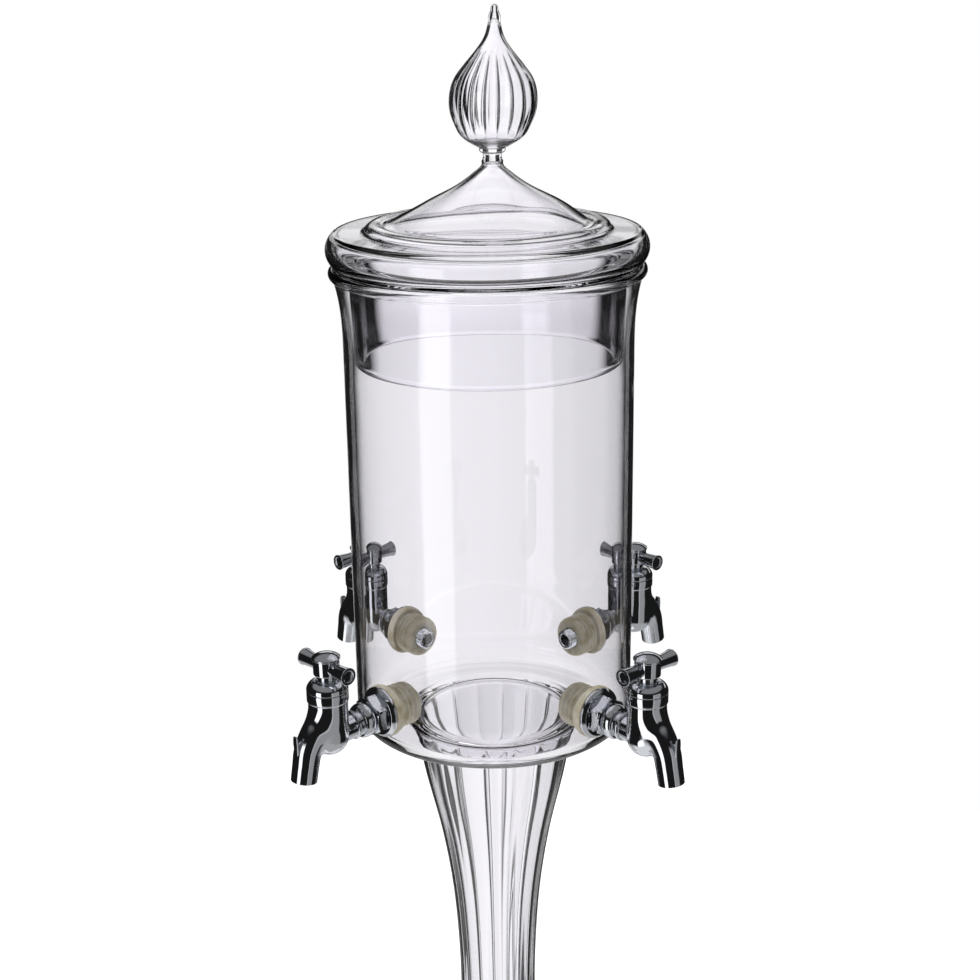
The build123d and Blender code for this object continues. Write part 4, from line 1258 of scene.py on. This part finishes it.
class FOUNTAIN_OT_inner_parts(Operator):
    """Gives the plugs, the thrust washers and the stem rings their finishes"""

    bl_idname = "fountain.inner_parts"
    bl_label = "Inner parts"

    def execute(self, context):
        finish = context.scene.fountain_finish
        finishes = {
            "valve_plug": turned_brass(finish),
            "thrust_washer": grained("Sheet fluoropolymer", finish.plastic, 0.45, 0.6),
            "stem_ring": grained("Moulded nitrile rubber", finish.rubber, 0.6, 0.4),
        }
        for place in TAP_ANGLES:
            for piece, material in finishes.items():
                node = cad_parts[f"{place}_{piece}"]
                node.data.materials.clear()
                node.data.materials.append(material)
        return {"FINISHED"}


class FOUNTAIN_OT_studio(Operator):
    """Sets up the camera, the pale table and the light tent with its dark gaps"""

    bl_idname = "fountain.studio"
    bl_label = "Studio"

    def execute(self, context):
        scene = context.scene
        studio = scene.fountain_studio
        scene.view_settings.view_transform = "Standard"
        self.add_camera(scene, studio)
        self.add_table(studio, scene.fountain_finish)
        self.add_world(scene, studio)
        self.add_lamp("Key softbox", (-0.75, -0.55, 1.25), size=0.7, power=studio.key_power)
        self.add_lamp("Fill softbox", (0.85, 0.25, 1.1), size=0.6, power=studio.fill_power)
        return {"FINISHED"}

    def add_camera(self, scene, studio):
        """Camera at the photograph's place, turned round the fountain, tipped down and rolled."""
        camera = bpy.data.objects.new("Camera", bpy.data.cameras.new("Camera"))
        scene.collection.objects.link(camera)
        camera.data.lens = studio.lens
        camera.data.sensor_width = 36
        camera.data.clip_start = 0.01
        azimuth, distance = studio.camera_azimuth, studio.camera_distance
        place = Vector((distance * sin(azimuth), -distance * cos(azimuth), studio.camera_height))
        turn = (
            Matrix.Rotation(azimuth + studio.camera_pan, 4, "Z")
            @ Matrix.Rotation(radians(90) - studio.camera_pitch, 4, "X")
            @ Matrix.Rotation(studio.camera_roll, 4, "Z")
        )
        camera.matrix_world = Matrix.Translation(place) @ turn
        scene.camera = camera

    def add_table(self, studio, finish):
        """Round table: rings of points on the floor. The camera sees it white, less its soft shadow.
        Glass and metal see the surround's own table instead."""
        rings = np.column_stack((np.linspace(0, studio.floor_radius * 1000, 12), np.zeros(12)))
        material, tree = new_material("Matt white board")
        seen = add_node(tree, "LightPath").outputs["Is Camera Ray"]
        glow = add_node(tree, "Math", (seen, studio.floor_glow), operation="MULTIPLY")
        look = {"Base Color": finish.board, "Roughness": 0.9, "Specular IOR Level": 0.1}
        finished(material, {**look, "Emission Color": (1, 1, 1, 1), "Emission Strength": glow})
        table = make_object("table", skin(lathe(rings, 96)), material)
        table.visible_transmission = False
        table.visible_glossy = False

    def add_world(self, scene, studio):
        """White surround to the camera. Glass sees it through upright windows with dark gaps between
        them, which draw its edges. Mirrors see a dark room with tall strip lights and a grey table.
        Matt surfaces get an even soft light. Directions run from -1 to 1 across the tent."""
        world = bpy.data.worlds.new("Light tent")
        world.use_nodes = True
        tree = world.node_tree
        tree.nodes.clear()
        path = add_node(tree, "LightPath").outputs
        place = add_node(tree, "TexCoord").outputs["Generated"]
        sideways, forward, height = add_node(tree, "SeparateXYZ", (place,)).outputs
        azimuth = add_node(tree, "Math", (forward, sideways), operation="ARCTAN2")
        behind = 90 + np.degrees(studio.camera_azimuth)

        # Glass: a window on each side of the tent and one in each corner, with wider gaps beside the
        # one behind the fountain, brighter to the left and higher up, under a pale ceiling, and the
        # table straight below
        sides = self.windows(tree, azimuth, 4, behind, 12, 2.5)
        corners = self.windows(tree, azimuth, 4, behind + 45, 20, 2.5)
        gaps = self.windows(tree, azimuth, 1, behind, 36, 2)
        corners = add_node(tree, "Math", (corners, gaps), operation="SUBTRACT", use_clamp=True)
        tent = add_node(tree, "Math", (sides, corners), operation="MAXIMUM")
        for along, start, stop, last in ((sideways, -0.1, 0.01, 0.88), (height, -0.2, -0.1, 1.16)):
            ends = {"From Min": start, "From Max": stop, "To Min": 1, "To Max": last}
            ramp = add_node(tree, "MapRange", {"Value": along, **ends})
            tent = add_node(tree, "Math", (tent, ramp), operation="MULTIPLY")
        tent = self.layered(tree, tent, "MAXIMUM", ((height, 0.12, 0.35, 0.9), (height, -0.6, -0.72, 1)))

        # Mirrors: a dark room with a dim ceiling and strips by azimuth, half-width and soft edge in
        # degrees, by strength, and by the heights where they start and stop
        strips = (
            (229, 13, 2, 1.7, -2, 0.25),
            (303, 3, 1, 0.55, -2, 0.25),
            (322, 20, 4, 0.36, -2, 0.25),
            (behind, 12, 3, 1.0, -2, -0.2),
            (behind, 14, 4, 0.95, 0.1, 0.3),
            (behind - 30, 24, 4, 0.9, 0.15, 0.25),
        )
        room = self.layered(tree, 0.012, "ADD", ((height, 0.5, 0.7, 0.238),))
        for middle, half, soft, strength, start, stop in strips:
            strip = self.windows(tree, azimuth, 1, middle, half, soft, strength)
            cuts = ((height, stop + 0.15, stop, 1), (height, start, start + 0.1, 1))
            strip = self.layered(tree, strip, "MULTIPLY", cuts)
            room = add_node(tree, "Math", (room, strip), operation="MAXIMUM")

        # Light that was mirrored inside the glass comes from the mirrors' room, with a white table, a
        # pale ceiling and a pale front
        table_layer = (height, -0.52, -0.7, 1)
        pale = (table_layer, (height, 0.5, 0.7, 0.85), (forward, -0.6, -0.85, 0.6))
        inside_glass = self.layered(tree, room, "MAXIMUM", pale)
        mirrored_once = add_node(tree, "Math", (path["Glossy Depth"], 1), operation="MINIMUM")
        tent = add_node(tree, "Mix", {"Factor": mirrored_once, "A": tent, "B": inside_glass})

        # The mirrors' table is grey, and brighter on its lit side
        table = self.layered(tree, 0, "ADD", (table_layer,))
        lit_side = self.windows(tree, azimuth, 1, 215, 45, 20, 0.9)
        table_level = add_node(tree, "Math", (lit_side, 0.48), operation="MAXIMUM")
        room = add_node(tree, "Mix", {"Factor": table, "A": room, "B": table_level})

        level = studio.soft_light
        for ray, seen in (("Is Glossy Ray", room), ("Is Transmission Ray", tent), ("Is Camera Ray", 1)):
            level = add_node(tree, "Mix", {"Factor": path[ray], "A": level, "B": seen})
        background = add_node(tree, "Background", {"Color": (1, 1, 1, 1), "Strength": level})
        add_node(tree, "OutputWorld", {"Surface": background})
        scene.world = world

    def layered(self, tree, level, operation, layers):
        """A level that an operation joins with layers, each 0 at one place along a direction and rising
        smoothly to its strength at another."""
        for along, dark, bright, strength in layers:
            ends = {"From Min": dark, "From Max": bright, "To Max": strength}
            layer = add_node(tree, "MapRange", {"Value": along, **ends}, interpolation_type="SMOOTHSTEP")
            level = add_node(tree, "Math", (level, layer), operation=operation)
        return level

    def windows(self, tree, azimuth, count, middle, half, soft, strength=1):
        """Tall windows, count of them round the tent: a cosine of count times the azimuth from the
        middle of one, cut off softly at its half-width. The angles are in degrees."""
        turn = add_node(tree, "Math", (azimuth, radians(middle)), operation="SUBTRACT")
        angle = add_node(tree, "Math", (turn, count), operation="MULTIPLY")
        wave = add_node(tree, "Math", (angle,), operation="COSINE")
        outer, inner = (cos(count * radians(half + edge)) for edge in (soft, -soft))
        ends = {"From Min": outer, "From Max": inner, "To Max": strength}
        return add_node(tree, "MapRange", {"Value": wave, **ends}, interpolation_type="SMOOTHSTEP")

    def add_lamp(self, name, place, size, power):
        """Square softbox that faces the middle of the fountain, by its place and size in metres."""
        light = bpy.data.lights.new(name, "AREA")
        light.size = size
        light.energy = power
        lamp = bpy.data.objects.new(name, light)
        lamp.location = place
        middle = Vector((0, 0, 0.32))
        aim = middle - Vector(place)
        lamp.rotation_euler = aim.to_track_quat("-Z", "Y").to_euler()
        lamp.visible_camera = False
        lamp.visible_transmission = False
        lamp.visible_glossy = False
        bpy.context.scene.collection.objects.link(lamp)


OPERATORS = (
    FOUNTAIN_OT_glass_body,
    FOUNTAIN_OT_glass_lid,
    FOUNTAIN_OT_tap_bodies,
    FOUNTAIN_OT_tap_fittings,
    FOUNTAIN_OT_tap_handles,
    FOUNTAIN_OT_inner_parts,
    FOUNTAIN_OT_studio,
)


class VIEW3D_PT_fountain(Panel):
    """Lists the fountain's settings and the steps that build it"""

    bl_label = "Absinthe fountain"
    bl_space_type = "VIEW_3D"
    bl_region_type = "UI"
    bl_category = "Fountain"

    def draw(self, context):
        layout = self.layout
        for name, group in SETTINGS.items():
            column = layout.box().column()
            column.label(text=group.__doc__)
            for setting in group.__annotations__:
                column.prop(getattr(context.scene, name), setting)
        for operator in OPERATORS:
            layout.operator(operator.bl_idname)


CLASSES = (*SETTINGS.values(), *OPERATORS, VIEW3D_PT_fountain)


def register():
    for item in CLASSES:
        bpy.utils.register_class(item)
    for name, group in SETTINGS.items():
        setattr(bpy.types.Scene, name, PointerProperty(type=group))


def unregister():
    for name in SETTINGS:
        delattr(bpy.types.Scene, name)
    for item in reversed(CLASSES):
        bpy.utils.unregister_class(item)


def main():
    register()
    bpy.ops.fountain.glass_body()
    bpy.ops.fountain.glass_lid()
    bpy.ops.fountain.tap_bodies()
    bpy.ops.fountain.tap_fittings()
    bpy.ops.fountain.tap_handles()
    bpy.ops.fountain.inner_parts()
    bpy.ops.fountain.studio()


if __name__ == "__main__":
    main()
